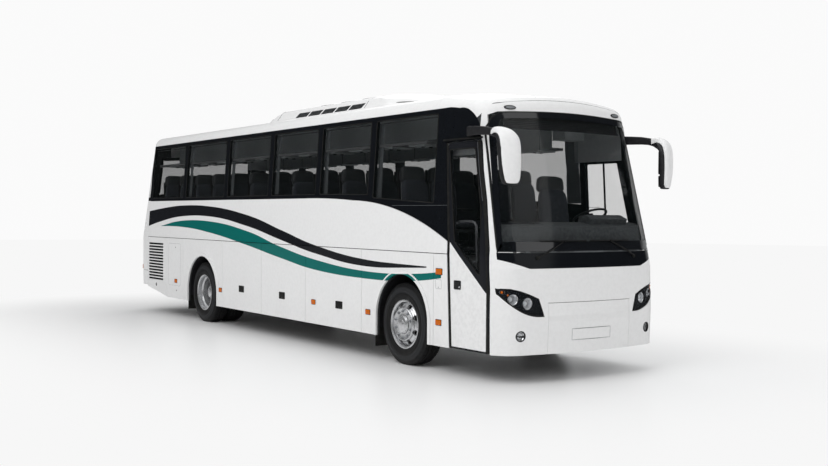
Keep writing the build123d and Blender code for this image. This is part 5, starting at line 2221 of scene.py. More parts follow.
@dataclass
class EntranceDoor:
    """The trim of the swing-out door and the rails people hold inside it."""

    pane: Outline = ((1.105, 1.575), (1.56, 1.215), (1.6, 1.215), (1.565, 1.959), (1.395, 2.66),
        (0.905, 2.66))
    # the leaf's rear and front edges, as (X, Z) from the foot up
    rear: Outline = ((1.036, 0.333), (0.976, 1.55), (0.8375, 2.741))
    front: Outline = ((1.753, 0.333), (1.753, 1.055), (1.723, 1.5), (1.616, 2.059), (1.529, 2.4),
        (1.46, 2.741))

    def build(self) -> None:
        """Builds the rubbers, the bright strip, the handle, the rail and the step nosings."""
        lift = side_lift(Side.RIGHT)
        shape = Shape()
        pane = rounded(self.pane, 0.03, 6)
        shape.frame(inset(pane, -0.008), inset(pane, 0.008), lift, -0.006, 0.002)
        leaf = list(self.rear[::-1]) + list(self.front)
        leaf = rounded(leaf, 0.01, 3)
        shape.frame(inset(leaf, 0.001), inset(leaf, 0.015), self.skin, -0.004, 0.0035)
        for edge, sign in ((self.rear, 1), (self.front, -1)):
            shape.loft([[self.skin(x + sign * d, z, out) for d, out in ((0.013, 0.0), (0.016, 0.005),
                (0.03, 0.0065), (0.04, 0.004), (0.043, 0.0))] for x, z in self.smooth(edge)], closed=False)
        line = inset(leaf, 0.047)
        low = min(range(len(line)), key=lambda n: line[n][1])
        bright = [p for p in line[low:] + line[:low] if p[1] > 1.6]
        if bright[0][0] > bright[-1][0]:
            bright.reverse()
        shape.solid([[self.skin(u, v, 0.0005), self.skin(u, v, 0.004), self.skin(u + 0.004, v, 0.004),
            self.skin(u + 0.004, v, 0.0005)] for u, v in bright], mat=1)
        shape.finish("door_seals", [Paint.rubber, Paint.dull], "trim_black", "door_leaf")
        self.handle()
        self.rails()
        self.nosings()

    def smooth(self, edge: Outline) -> Points:
        """The edge with its corners eased."""
        return [edge[0]] + [p for n in range(1, len(edge) - 1) for p in self.ease(edge[n - 1], edge[n],
            edge[n + 1])] + [edge[-1]]

    @staticmethod
    def ease(a: Sequence[float], b: Sequence[float], c: Sequence[float]) -> Points:
        """Three points round a corner."""
        a, b, c = Vector(a), Vector(b), Vector(c)
        return [tuple(b.lerp(a, 0.08)), tuple(b * 0.96 + (a + c) * 0.02), tuple(b.lerp(c, 0.08))]

    def skin(self, x: float, z: float, out: float) -> Vector:
        """A point on the door's skin, round the start of the front corner too.

        Args:
            x: Distance ahead of the front axle.
            z: Height.
            out: How far off the skin.

        Returns:
            The point.
        """
        nose = 2.042 - max(0.0, z - BELT_Z) * 0.2333 if z > BELT_Z else 2.073
        half = side_y(z)
        centre = nose - NOSE_R + sqrt((NOSE_R - CORNER_R) ** 2 - (half - CORNER_R) ** 2)
        past = max(0.0, x - centre)
        y = half - CORNER_R + sqrt(max(0.0, (CORNER_R + out) ** 2 - past ** 2))
        return at(x, -y, z)

    def handle(self) -> None:
        """The outside handle: a black recessed grip with a lock."""
        shape = Shape()
        x, z = 1.183, 1.076
        box = rounded(rect(x - 0.066, z - 0.052, x + 0.066, z + 0.052), 0.014)
        shape.dish(box, self.skin, 0.005, 0.001, wall=0.007)
        grip = rounded(rect(x - 0.05, z + 0.004, x + 0.05, z + 0.036), 0.01)
        shape.plate(grip, self.skin, 0.0005, 0.0085, edge=0.004)
        shape.plate(ellipse(x + 0.034, z - 0.024, 0.011, 0.011, 20), self.skin, 0.0005, 0.0045, mat=1)
        shape.finish("door_handle", [Paint.trim, Paint.chrome], "trim_black", "door_leaf")

    def rails(self) -> None:
        """A bent grab rail on the leaf's inside."""
        shape = Shape()
        y = -1.175
        path = [(1.06, 1.79), (1.085, 1.812), (1.2, 1.816), (1.32, 1.814), (1.372, 1.8), (1.4, 1.762),
            (1.408, 1.62), (1.416, 1.35)]
        shape.tube([at(x, y, z) for x, z in path], 0.014, 14)
        for x, z in (path[0], path[-1]):
            shape.tube([at(x, y, z), at(x, -side_y(z) + 0.04, z)], 0.012, 12)
        shape.finish("door_grab_rail", [Paint.dull], "trim_black", "door_leaf", smooth=60)

    def nosings(self) -> None:
        """Ribbed edges on the entrance steps."""
        shape = Shape()
        for outer, top in ((1.222, 0.38), (0.93, 0.61), (0.69, 0.84), (0.45, 1.07)):
            low = at(1.004, -outer - 0.003, top - 0.026)
            high = at(1.686, -outer + 0.034, top + 0.003)
            shape.block(low, high)
            for k in range(4):
                y = -outer + 0.006 + 0.008 * k
                shape.block(at(1.01, y, top + 0.002), at(1.68, y + 0.004, top + 0.0045), mat=1)
        shape.finish("step_nosings", [Paint.alloy, Paint.rubber], "floor_grey")


# ---- roof ----


@dataclass
class RoofPod:
    """The cooling pod's shell, whose front falls away, with its louvres, seams and fans."""

    louvres: tuple[float, float, int] = (-3.37, -1.43, 5)
    low: tuple[float, float] = (0.9512, 3.352)
    high: tuple[float, float] = (0.9104, 3.4225)
    # half of the section, from above the foot to the shoulder: Y, Z
    flank: Outline = ((0.955, 3.345), (0.9275, 3.3925), (0.9, 3.44), (0.8925, 3.465), (0.868, 3.488),
        (0.837, 3.498), (0.8, 3.502))
    # the top's rise at the rear end: X, Z
    tail: Outline = ((-4.3, 3.33), (-4.18, 3.392), (-3.82, 3.53), (-3.6, 3.57), (-3.3, 3.584))
    crest: float = 3.578
    camber: float = 0.119
    fall_x: float = -1.2
    fall: float = 0.135
    hood_x: Point = (-0.88, -0.56, 0.32)
    hood: tuple[float, float] = (0.88, 0.76)

    def face(self, x: float, t: float, side: Side, out: float) -> Vector:
        """A point on the pod's sloping side: t is 0 at the louvres' foot and 1 at their top.

        Args:
            x: Distance ahead of the front axle.
            t: Place up the slope.
            side: Which side of the coach.
            out: How far off the skin.

        Returns:
            The point.
        """
        y = self.low[0] + (self.high[0] - self.low[0]) * t + out * 0.86
        z = self.low[1] + (self.high[1] - self.low[1]) * t + out * 0.5
        return at(x, side.value * y, z)

    def narrowing(self, x: float) -> float:
        """How much of its full width the pod keeps at X.

        Args:
            x: Distance ahead of the front axle.

        Returns:
            The share.
        """
        start, middle, end = self.hood_x
        t = min(1.0, max(0.0, (x - start) / (middle - start)))
        u = min(1.0, max(0.0, (x - middle) / (end - middle)))
        return 1.0 - (1.0 - self.hood[0]) * t * t * (3 - 2 * t) - (self.hood[0] - self.hood[1]) * u

    def limit(self, x: float, y: float) -> float:
        """The height that the rear rise and the front fall leave at (X, Y).

        Args:
            x: Distance ahead of the front axle.
            y: Distance from the centre line.

        Returns:
            The height.
        """
        drop = self.fall * max(0.0, x - self.fall_x)
        top = self.crest - self.camber * y * y - drop
        for (x0, z0), (x1, z1) in zip(self.tail, self.tail[1:]):
            if x0 <= x <= x1:
                top = min(top, z0 + (z1 - z0) * (x - x0) / (x1 - x0))
        return top

    def build(self) -> None:
        """Builds the shell, both sides and the top."""
        self.shell()
        for side in Side:
            self.louvre_side(side)
        self.top()

    def shell(self) -> None:
        """The moulded shell, standing on the roof."""
        crown = [(0.7 - 0.1 * k, None) for k in range(15)]
        half = [(0.985, 0.0)] + list(self.flank)
        across = half + crown + [(-y, z) for y, z in reversed(half)]
        stations = sorted({x for x, _ in self.tail} | {-4.06, -3.94, -3.7, -3.45, -2.4, -1.2}
            | {-1.05 + 0.05 * k for k in range(28)})
        rings = []
        for x in stations:
            upper, lower = [], []
            for y, z in across:
                v = y * self.narrowing(x)
                roof = 3.4 - 6.0 + sqrt(36.0 - v * v)
                height = self.limit(x, v) if z is None else min(z, self.limit(x, v))
                upper.append(at(x, v, max(roof, height)))
                lower.append(at(x, v, roof - 0.002))
            rings.append(upper + lower[::-1])
        shape = Shape()
        shape.solid(rings)
        shape.finish("pod_shell", [Paint.plain_white], "body_white", replaces=["roof_ac_unit"])

    def louvre_side(self, side: Side) -> None:
        """Five louvre panels with inclined slats over near-black backs, the front intake slot and the
        seams; the backs, the slot and the seams are painted shade.

        Args:
            side: Which side of the coach.
        """
        start, end, count = self.louvres
        step = (end - start) / count
        shape = Shape()
        for n in range(count):
            x0, x1 = start + n * step + 0.022, start + (n + 1) * step - 0.022

            def lift(u: float, v: float, out: float) -> Vector:
                """A point on the raked panel."""
                return self.face(u + 0.06 * (v - 0.5), v, side, out)

            panel = rect(x0, 0.0, x1, 1.0)
            # near-black panel behind the slats: painted shade
            shape.plate(rounded(panel, 0.012), lift, -0.004, 0.0012, edge=0.0005, mat=1)
            for k in range(3):
                t = 0.23 + 0.27 * k
                shape.solid([[lift(x, t - 0.055, -0.001), lift(x, t - 0.025, 0.006),
                    lift(x, t + 0.035, 0.006), lift(x, t + 0.055, -0.001)]
                    for x in (x0 + 0.008, x1 - 0.008)])
        shape.finish(f"pod_slats_{side.word}", [Paint.slat, Paint.void], "trim_black",
            replaces=["ac_louvres"])
        # the intake slot and the seams are near-black solids: painted shade in the opening and the joins
        slot = Shape()
        rings = []
        for k in range(15):
            x = -0.71 + 0.35 * k / 14
            tall = 0.016 * sin(pi * min(1.0, (k + 1) / 6) / 2) * (1.0 - 0.8 * k / 14)
            lower = 3.372 - 0.012 * k / 14
            spots = []
            for z, out in ((lower, -0.004), (lower, 0.003), (lower + tall, 0.003), (lower + tall, -0.004)):
                y = (0.955 - 0.579 * (z - 3.345)) * self.narrowing(x) + out
                spots.append(at(x, side.value * y, z))
            rings.append(spots)
        slot.solid(rings)
        for x in (-1.395, -3.96):
            seam = [self.face(x + 0.02 * t, t, side, 0.001) for t in (-0.06, 0.3, 0.7, 1.05)]
            seam += [at(x + 0.035 + 0.03 * k, side.value * (0.893 - 0.012 * k), 3.455 + 0.016 * k)
                for k in range(3)]
            slot.tube(seam, 0.0022, 6)
        slot.finish(f"pod_slot_{side.word}", [Paint.void], "trim_black")

    def top(self) -> None:
        """Six guarded fans on the pod's cambered top."""
        shape = Shape()
        for x in (-3.05, -2.45, -1.85):
            for y in (-0.42, 0.42):
                shape.solid([[self.dome(x + radius * cos(a), y + radius * sin(a), out) for a in turns(48)]
                    for radius, out in ((0.235, -0.01), (0.235, 0.01), (0.205, 0.01), (0.2, -0.004))])
                for radius in (0.05, 0.085, 0.12, 0.155, 0.19):
                    loop = [self.dome(x + radius * cos(a), y + radius * sin(a), 0.008)
                        for a in (2 * pi * k / 40 for k in range(41))]
                    shape.tube(loop, 0.0022, 6, mat=1)
                for k in range(8):
                    a = pi * k / 4
                    shape.tube([self.dome(x + 0.02 * cos(a), y + 0.02 * sin(a), 0.01),
                        self.dome(x + 0.21 * cos(a), y + 0.21 * sin(a), 0.01)], 0.0028, 6, mat=1)
                crown = self.dome(x, y, -0.006)
                hub = [crown + Vector((0.045 * cos(a), 0.045 * sin(a), 0)) for a in turns(24)]
                top = [p + Vector((0, 0, 0.014)) for p in hub]
                shape.solid([hub, top], mat=1)
        shape.finish("pod_fans", [Paint.trim, Paint.steel], "trim_black")

    def dome(self, x: float, y: float, out: float) -> Vector:
        """A point over the pod's cambered top."""
        return at(x, y, self.crest - self.camber * y * y + out)


# ---- rear ----


@dataclass
class Rear:
    """The rear end: window seal, high stop lamp, lid trim, plate, reflectors and tail lamps."""

    window: Outline = ((-1.01, 2.2), (1.01, 2.2), (0.96, 2.96), (-0.96, 2.96))

    def build(self) -> None:
        """Builds everything at the rear."""
        self.window_seal()
        self.lid()
        self.bumper()
        for side in Side:
            self.tail_lamp(side)

    def window_seal(self) -> None:
        """The rubber round the window, a printed border and the high stop lamp."""
        lift = rear_lift()
        crown = [(0.96 - 1.92 * k / 14, 2.96 + 0.04 * (1 - (1 - k / 7) ** 2)) for k in range(1, 14)]
        line = fine(list(self.window[:2]) + [self.window[2]] + crown + [self.window[3]], 0.12)
        shape = Shape()
        shape.frame(inset(line, -0.012), inset(line, 0.014), lift, -0.008, 0.004)
        shape.frame(line, inset(line, 0.06), lift, -0.003, -0.001, mat=1)
        lamp = rounded(rect(-0.26, 3.075, 0.26, 3.11), 0.012)
        shape.plate(lamp, lift, -0.004, 0.012, edge=0.004, mat=2)
        shape.finish("rear_window_seal", [Paint.rubber, Paint.gloss_black, Paint.red], "gloss_black")

    def lid(self) -> None:
        """The engine lid's louvres, handle and lock."""
        shape = Shape()
        lift = rear_lift()
        for n in range(9):
            z = 0.905 + 0.034 * n
            for y0, y1 in ((-0.69, -0.06), (0.06, 0.69)):
                rings = []
                for k in range(13):
                    y = y0 + (y1 - y0) * k / 12
                    rings.append([lift(y, z, 0.0005), lift(y, z + 0.004, 0.012), lift(y, z + 0.02, 0.0035),
                        lift(y, z + 0.022, 0.0005)])
                shape.solid(rings)
        grip = rounded(rect(-0.11, 1.3, 0.11, 1.35), 0.014)
        shape.dish(grip, lift, 0.012, 0.002, wall=0.008, mat=1)
        shape.plate(ellipse(0.0, 1.265, 0.014, 0.014, 20), lift, -0.002, 0.004, mat=2)
        shape.finish("engine_lid_trim", [Paint.plain_white, Paint.trim, Paint.chrome], "body_white",
            "engine_lid")

    def bumper(self) -> None:
        """The blank rear plate, its lamps and the reflectors."""
        shape = Shape()
        lift = rear_lift()
        plate = rounded(rect(-0.255, 0.568, 0.255, 0.682), 0.01)
        flat = -9.126
        shape.solid([[at(flat, y, z) for y, z in plate], [at(flat - 0.003, y, z) for y, z in plate],
            [at(flat - 0.004, y, z) for y, z in inset(plate, 0.003)]])
        for y in (-0.15, 0.15):
            lamp = rounded(rect(y - 0.045, 0.7, y + 0.045, 0.722), 0.006)
            shape.plate(lamp, lift, -0.004, 0.016, edge=0.004, mat=1)
        for y in (-0.76, 0.76):
            spot = rounded(rect(y - 0.075, 0.6, y + 0.075, 0.636), 0.008)
            shape.plate(spot, lift, -0.002, 0.008, edge=0.003, mat=2)
        shape.finish("rear_plate_and_reflectors", [Paint.plate, Paint.trim, Paint.red], "body_white")

    def tail_lamp(self, side: Side) -> None:
        """A tall cluster: turn, stop and reversing lamps in a dark rim under one lens.

        Args:
            side: Which side of the coach.
        """
        shape = Shape()
        lift = rear_lift(side)
        line = fine([(0.909, 0.854), (1.126, 0.854), (1.126, 1.328), (1.08, 1.385), (1.005, 1.42),
            (0.909, 1.434)], 0.05)
        shape.frame(line, inset(line, 0.012), lift, -0.024, 0.003, mat=3)
        shape.plate(inset(line, 0.01), lift, -0.028, -0.002, edge=0.002, mat=3)
        for z, radius, mat in ((1.33, 0.066, 1), (1.175, 0.074, 0), (1.015, 0.074, 0), (0.905, 0.04, 2)):
            shape.frame(ellipse(1.016, z, radius + 0.006, radius + 0.006, 32),
                ellipse(1.016, z, radius, radius, 32), lift, -0.004, 0.004, mat=4)
            shape.plate(ellipse(1.016, z, radius, radius, 32), lift, -0.004, 0.001, edge=0.003, crown=0.007,
                mat=mat)
        shape.finish(f"tail_lamp_{side.word}", [Paint.red, Paint.amber, Paint.pearl, Paint.gloss_black,
            Paint.chrome], "lamp_red", replaces=["tail_lamps"])


# ---- cabin ----


@dataclass
class Seats:
    """Padded seats: bolstered backs, headrests and cushions on plain metal frames."""

    pitch: float = 0.73
    rows: int = 12
    first_x: float = -0.36
    floor_z: float = 1.33
    top_z: float = 2.512
    rise: float = 0.008
    pair_y: float = 0.690    # middle of a double seat
    half_pair: float = 0.222

    def pad(self, shape: Shape, middle: Vector, up: Vector, half: Point, bolster: float = 0.0,
            taper: float = 0.0, channels: int = 0, rings: int = 14, sides: int = 28) -> None:
        """A crowned cushion: fullest in the middle, drawn in towards its seams.

        Args:
            shape: The shape to add to.
            middle: Its centre.
            up: The direction its rings are stacked in; forwards is away from its back.
            half: Half its width, half its depth and half its height.
            bolster: How far the sides stand forward of the middle.
            taper: How much narrower the top is than the foot.
            channels: Sewn channels across it.
            rings: Rings from foot to top.
            sides: Points in each ring.
        """
        wide, deep, tall = half
        up = up.normalized()
        ahead = Vector((up.z, 0.0, -up.x))
        stack = []
        for k in range(rings + 1):
            t = -cos(pi * k / rings)
            round_off = max(0.05, 1.0 - abs(t) ** 5) ** 0.42
            crown = 0.86 + 0.14 * (1 - t * t)
            narrow = 1.0 - taper * (t + 1) / 2
            ring = []
            for n in range(sides):
                a = 2 * pi * n / sides
                c, s = cos(a), sin(a)
                across = wide * narrow * (0.94 + 0.06 * crown) * round_off ** 0.5 * signed_power(c, 0.55)
                forward = deep * crown * round_off * signed_power(s, 0.8)
                share = abs(across) / wide
                if s > 0:
                    forward += bolster * max(0.0, share - 0.55) / 0.45 * round_off
                    if channels:
                        groove = abs(sin(pi * channels * (t + 1) / 2))
                        forward -= 0.008 * (1 - groove) ** 3 * (1 - share ** 4)
                ring.append(middle + Vector((0, across, 0)) + up * (tall * t) + ahead * forward)
            stack.append(ring)
        shape.solid(stack)

    def place_of(self, y: float, floor: float, top: float, x: float, backs: Shape, heads: Shape,
            seats: Shape, wide: float = 0.205) -> None:
        """One person's back, headrest and cushion; x is the back of the headrest.

        Args:
            y: Distance from the centre line.
            floor: Height of the floor.
            top: Height of the headrest's top.
            x: Distance ahead of the front axle.
            backs: Takes the back.
            heads: Takes the headrest.
            seats: Takes the cushion.
            wide: Half its width.
        """
        lean = Vector((-0.105, 0, 1.0))
        back_mid = at(x + 0.14, y, (floor + 0.47 + top - 0.19) / 2)
        self.pad(backs, back_mid, lean, (wide, 0.062, (top - 0.19 - floor - 0.47) / 2 + 0.03), bolster=0.03,
            taper=0.05, channels=4)
        head_mid = at(x + 0.072, y, top - 0.112)
        self.pad(heads, head_mid, Vector((-0.06, 0, 1.0)), (wide * 0.95, 0.06, 0.11), bolster=0.016,
            taper=0.1, rings=10)
        seat_mid = at(x + 0.405, y, floor + 0.418)
        self.pad(seats, seat_mid, Vector((1.0, 0, 0.085)), (wide, 0.05, 0.215), channels=3, rings=12)

    def build(self) -> None:
        """Builds both sides' rows and the driver's seat."""
        for side in Side:
            self.side_rows(side)
        self.driver()

    def side_rows(self, side: Side) -> None:
        """One side's double seats, repeated along the saloon.

        Args:
            side: Which side of the coach.
        """
        backs, heads, seats, frame_shape, piping = Shape(), Shape(), Shape(), Shape(), Shape()
        floor, top = self.floor_z, self.top_z
        for y in (self.pair_y - self.half_pair, self.pair_y + self.half_pair):
            self.place_of(side.value * y, floor, top, 0.0, backs, heads, seats)
        middle = side.value * self.pair_y
        for y in (-0.3, 0.3):
            frame_shape.tube([at(0.36, middle + y, floor + 0.34), at(0.34, middle + y, floor + 0.02)],
                0.022, 12)
            frame_shape.block(at(0.22, middle + y - 0.03, floor + 0.001),
                at(0.5, middle + y + 0.03, floor + 0.018))
        frame_shape.block(at(0.2, middle - 0.43, floor + 0.335), at(0.59, middle + 0.43, floor + 0.372))
        for y in (-0.444, 0.444):
            frame_shape.tube([at(0.17, middle + y, floor + 0.44), at(0.16, middle + y, floor + 0.61),
                at(0.2, middle + y, floor + 0.632), at(0.47, middle + y, floor + 0.622)], 0.016, 10, mat=1)
        for y in (-self.half_pair, self.half_pair):
            shell = [at(0.07, middle + y - 0.195, floor + 0.38), at(0.07, middle + y + 0.195, floor + 0.38),
                at(0.075, middle + y + 0.195, floor + 0.4), at(0.075, middle + y - 0.195, floor + 0.4)]
            upper = [p + Vector((-0.062, 0, top - floor - 0.42)) for p in shell]
            wide = [p + Vector((0.03, 0, 0)) for p in shell[:2]]
            wide_up = [p + Vector((0.03, 0, 0)) for p in upper[:2]]
            frame_shape.solid([[shell[0], shell[1], wide[1], wide[0]],
                [upper[0], upper[1], wide_up[1], wide_up[0]]], mat=1)
            for edge in (-0.198, 0.198):
                path = [at(0.15 - 0.105 * (z - 1.86), middle + y + edge * squeeze, z)
                    for z, squeeze in ((floor + 0.5, 1.0), (1.95, 1.0), (2.1, 0.99), (2.24, 0.97),
                    (2.3, 0.93))]
                piping.tube(path, 0.006, 6)
        for shape, name, finish, slot, padded in ((backs, "seat_backs", Paint.cloth, "seat_cloth", 0.7),
                (heads, "headrests", Paint.leather, "seat_cloth", 0.8),
                (seats, "seat_cushions", Paint.cloth, "seat_cloth", 0.65),
                (piping, "seat_piping", Paint.piping, "seat_cloth", None),
                (frame_shape, "seat_frames", Paint.trim, "trim_black", None)):
            mesh = Repeat(self.rows, step=(-self.pitch, 0.0, self.rise if padded else 0.0),
                centre=(self.first_x, 0.0, 0.0)).make(shape, finish)
            shade(mesh, 55)
            piece = joined(f"{name}_{side.word}", [mesh])
            settle(piece, "coach", slot, ["passenger_seats"])

    def driver(self) -> None:
        """The driver's seat, with a suspension base."""
        backs, heads, seats, base = Shape(), Shape(), Shape(), Shape()
        self.place_of(0.6, 1.15, 2.4, 0.6, backs, heads, seats, wide=0.24)
        base.block(at(0.78, 0.4, 1.152), at(1.16, 0.8, 1.3))
        base.block(at(0.76, 0.38, 1.44), at(1.18, 0.82, 1.5))
        for k in range(5):
            z = 1.3 + 0.028 * k
            grow = 0.012 * (k % 2)
            base.block(at(0.8 - grow, 0.42 - grow, z), at(1.14 + grow, 0.78 + grow, z + 0.028))
        for shape, name, finish, fill in ((backs, "driver_back", Paint.cloth, 0.7),
                (heads, "driver_headrest", Paint.leather, 0.8), (seats, "driver_cushion", Paint.cloth,
                0.65)):
            piece = shape.finish(name, [finish], "seat_cloth", smooth=55, replaces=["driver_seat"])
        base.finish("driver_seat_base", [Paint.trim], "trim_black", replaces=["driver_seat"])


@dataclass
class Cabin:
    """What shows through the glass: ceiling, racks, aisle and the driver's place."""

    def build(self) -> None:
        """Builds the linings, the ceiling, the lockers and the dials."""
        self.walls()
        self.ceiling()
        self.racks()
        self.instruments()

    def walls(self) -> None:
        """A grey lining over the driver's window and one over the doorway."""
        for side in Side:
            shape = Shape()
            rows = []
            for z in (2.59, 2.72, 2.86, 2.98, 3.08):
                row = []
                for x in (0.6, 0.9, 1.2, 1.45):
                    spot = on_side(x, z, side, -0.088)
                    row.append(Vector((spot.x - max(0.0, z - 2.9) * 0.5, spot.y, spot.z)))
                rows.append(row)
            shape.loft(rows, closed=False)
            shape.finish(f"cab_lining_{side.word}", [Paint.lining], "rack_grey")

    def ceiling(self) -> None:
        """A pale ceiling panel with two light strips and a floor runner."""
        shape = Shape()
        across = [-0.98 + 1.96 * k / 14 for k in range(15)]
        shape.loft([[at(x, y, 3.345 - 0.0833 * y ** 2) for y in across] for x in (-8.64, -6.0, -4.0, -2.0,
            0.56)], closed=False)
        for y in (-0.42, 0.42):
            shape.block(at(-8.55, y - 0.04, 3.31), at(0.5, y + 0.04, 3.328), mat=1)
        shape.finish("ceiling_lining", [Paint.lining, Paint.pearl], "rack_grey")
        runner = Shape()
        runner.block(at(-8.7, -0.215, 1.3302), at(0.5, 0.215, 1.334))
        runner.finish("aisle_runner", [Paint.leather], "floor_grey")

    def racks(self) -> None:
        """Closed lockers over the racks, with rolled edges, seams, and vents below."""
        for side in Side:
            shape = Shape()
            section = ((0.738, 2.762), (0.734, 2.9), (0.722, 3.05), (0.69, 3.2), (0.64, 3.3), (0.66, 3.306),
                (0.712, 3.205), (0.744, 3.052), (0.7385, 2.9), (0.7398, 2.762))
            shape.solid([[at(x, side.value * y, z) for y, z in section] for x in (-8.49, -6.0, -3.0, 0.56)])
            for n in range(12):
                x = -0.1 - 0.73 * n
                shape.block(at(x, side.value * 0.93 - 0.16, 2.745), at(x + 0.34, side.value * 0.93 + 0.16,
                    2.764))
                seam = [at(x + 0.42, side.value * (y - 0.0015), z) for y, z in section[:5]]
                shape.tube(seam, 0.004, 6, mat=1)
                for k in (-0.06, 0.06):
                    ring = [at(x + 0.17 + 0.024 * cos(a), side.value * 0.93 + k + 0.024 * sin(a), 2.745)
                        for a in turns(16)]
                    shape.solid([ring, [p - Vector((0, 0, 0.012)) for p in ring]], mat=1)
            low, high = sorted((side.value * 0.74, side.value * 1.085))
            shape.block(at(0.565, low, 2.872), at(0.8, high, 3.255))
            shape.finish(f"lockers_{side.word}", [Paint.locker, Paint.trim], "rack_grey")

    def instruments(self) -> None:
        """Three ringed dials on the driver's hooded panel."""
        shape = Shape()
        face = [at(1.52, 0.34, 1.79), at(1.52, 0.86, 1.79), at(1.562, 0.86, 1.876), at(1.562, 0.34, 1.876)]
        normal = (face[1] - face[0]).cross(face[3] - face[0]).normalized()
        if normal.x > 0:
            normal = -normal
        for y, r in ((0.47, 0.036), (0.6, 0.042), (0.73, 0.036)):
            middle = at(1.541, y, 1.833)
            up = (face[3] - face[0]).normalized()
            ring = [middle + Vector((0, 1, 0)) * r * cos(a) + up * r * sin(a) for a in turns(28)]
            shape.solid([[p - normal * 0.006 for p in ring], [p + normal * 0.004 for p in ring],
                [middle + (p - middle) * 0.88 + normal * 0.004 for p in ring],
                [middle + (p - middle) * 0.86 + normal * 0.001 for p in ring]], mat=1)
        shape.finish("instrument_dials", [Paint.trim, Paint.dull], "trim_black")


# ---- studio ----


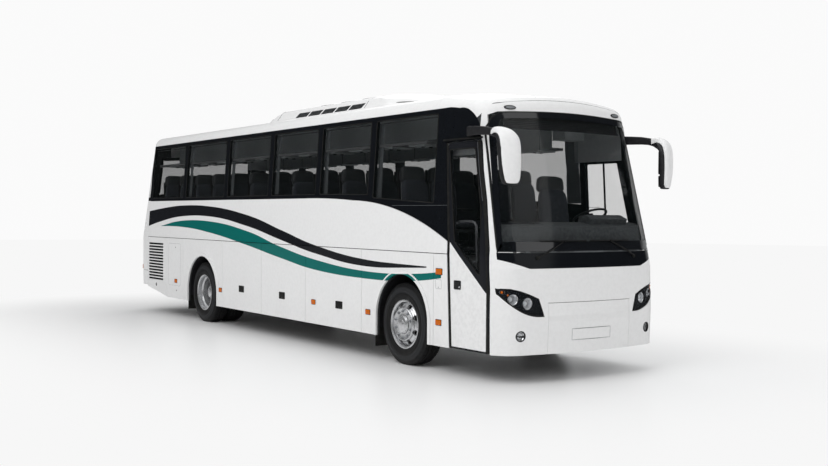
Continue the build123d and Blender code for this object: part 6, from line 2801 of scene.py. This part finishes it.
@dataclass
class Studio:
    """Floor, backdrop light, lamps and the camera."""

    camera_at: Point = (14.332, -8.611, 1.887)
    yaw: float = 145.24
    pitch: float = -1.0
    roll: float = 0.41
    focal_px: float = 1047.4
    frame_px: float = 828.0
    floor_radius: float = 60.0
    # half of the floor that keeps its shade, along X and Y
    pool: tuple[float, float] = (5.0, 0.8)
    # name, place, aimed at, size, power
    lights: tuple[tuple[str, Point, Point, float, float], ...] = (
        ("key_light", (6.0, -12.0, 13.0), (1.0, 0.0, 1.0), 12.0, 1100.0),
        ("front_light", (17.0, 3.0, 8.0), (4.0, 0.0, 1.5), 9.0, 270.0),
        ("rear_light", (-12.0, 9.0, 11.0), (-2.0, 0.0, 1.5), 12.0, 560.0),
        ("top_light", (0.0, 0.0, 14.0), (0.0, 0.0, 0.0), 14.0, 350.0))

    def build(self) -> None:
        """Sets up the whole studio."""
        self.camera()
        self.ground()
        self.lamps()
        view = bpy.context.scene.view_settings
        view.view_transform = "Standard"

    def camera(self) -> None:
        """Places the camera."""
        data = bpy.data.cameras.new("camera")
        data.sensor_width = 36.0
        data.lens = data.sensor_width * self.focal_px / self.frame_px
        data.clip_end = 200.0
        camera = linked("camera", data)
        yaw, pitch, roll = (radians(v) for v in (self.yaw, self.pitch, self.roll))
        ahead = Vector((cos(yaw) * cos(pitch), sin(yaw) * cos(pitch), sin(pitch)))
        right = Vector((sin(yaw), -cos(yaw), 0.0))
        up = right.cross(ahead)
        right, up = cos(roll) * right + sin(roll) * up, cos(roll) * up - sin(roll) * right
        turn = Matrix((right, up, -ahead)).transposed()
        place = Vector(self.camera_at) + Vector((0, 0, LIFT))
        camera.matrix_world = Matrix.Translation(place) @ turn.to_4x4()
        bpy.context.scene.camera = camera

    def ground(self) -> None:
        """A pale floor that keeps the coach's shadow and fades into white."""
        mesh = bpy.data.meshes.new("studio_floor")
        bm = bmesh.new()
        bmesh.ops.create_circle(bm, cap_ends=True, segments=96, radius=self.floor_radius)
        bm.to_mesh(mesh)
        bm.free()
        linked("studio_floor", mesh)
        material = bpy.data.materials.new("studio_floor")
        material.use_nodes = True
        tree = Tree(material.node_tree)
        shader = material.node_tree.nodes["Principled BSDF"]
        tree.plug(shader.inputs["Base Color"], (0.93, 0.93, 0.93, 1))
        tree.plug(shader.inputs["Roughness"], 0.35)
        x, y, _ = tree.parts(tree.value("ShaderNodeTexCoord", output="Object"))
        past_x, past_y = ((abs(place) - half).do("MAXIMUM") for place, half in zip((x, y), self.pool))
        fade = tree.step((past_x * past_x + past_y * past_y).do("SQRT"), 0.2, 5.0)
        camera, glossy, through = tree.rays()
        glow = tree.add("ShaderNodeEmission", {"Color": (1, 1, 1, 1), "Strength": 0.93 - glossy * 0.55})
        shown = camera.do("MAXIMUM", glossy.do("MAXIMUM", through))
        blend = tree.value("ShaderNodeMixShader", {0: fade * shown, 1: shader.outputs[0],
            2: glow.outputs[0]})
        tree.plug(material.node_tree.nodes["Material Output"].inputs["Surface"], blend)
        mesh.materials.append(material)

    def lamps(self) -> None:
        """Soft overhead light and a pale world."""
        world = bpy.data.worlds.new("studio")
        world.use_nodes = True
        bpy.context.scene.world = world
        tree = Tree(world.node_tree)
        back = world.node_tree.nodes["Background"]
        tree.plug(back.inputs["Color"], (0.97, 0.975, 0.98, 1))
        tree.plug(back.inputs["Strength"], 0.62)
        white = tree.value("ShaderNodeBackground", {"Color": (1, 1, 1, 1), "Strength": 0.96})
        camera, glossy, through = tree.rays()
        blend = tree.value("ShaderNodeMixShader", {0: camera.do("MAXIMUM", through), 1: back.outputs[0],
            2: white})
        ahead, beside, above = tree.parts(tree.value("ShaderNodeTexCoord"))
        level = 0.045 + tree.step(above, 0.42, 0.85) * 0.8
        band = tree.step(beside, 0.45, 0.6) * (1.0 - tree.step(ahead, 0.0, 0.25))
        dim = tree.value("ShaderNodeBackground", {"Color": (0.96, 0.975, 0.98, 1), "Strength": level.do(
            "MAXIMUM", band * 0.8)})
        blend = tree.value("ShaderNodeMixShader", {0: glossy, 1: blend, 2: dim})
        tree.plug(world.node_tree.nodes["World Output"].inputs[0], blend)
        for name, place, aim, size, power in self.lights:
            data = bpy.data.lights.new(name, "AREA")
            data.shape = "DISK"
            data.size = size
            data.energy = power
            lamp = linked(name, data)
            lamp.location = place
            lamp.rotation_euler = (Vector(aim) - Vector(place)).to_track_quat("-Z", "Y").to_euler()


def main() -> None:
    """Builds and dresses the coach, then the studio."""
    logging.basicConfig(level=logging.INFO, format="%(name)s: %(message)s")

    dress_nodes()
    for side in Side:
        FrontWheel(side).build()
        RearWheels(side).build()
        Mirror(side).build()
        SideWindows(side, curtain_width=0.115 if side is Side.RIGHT else 0.255).build()
        SideFittings(side).build()
        Headlamp(side).build()
    Windscreen().build()
    SmallLamps().build()
    FrontPlate().build()
    EntranceDoor().build()
    RoofPod().build()
    Rear().build()
    Seats().build()
    Cabin().build()
    Studio().build()


if __name__ == "__main__":
    main()
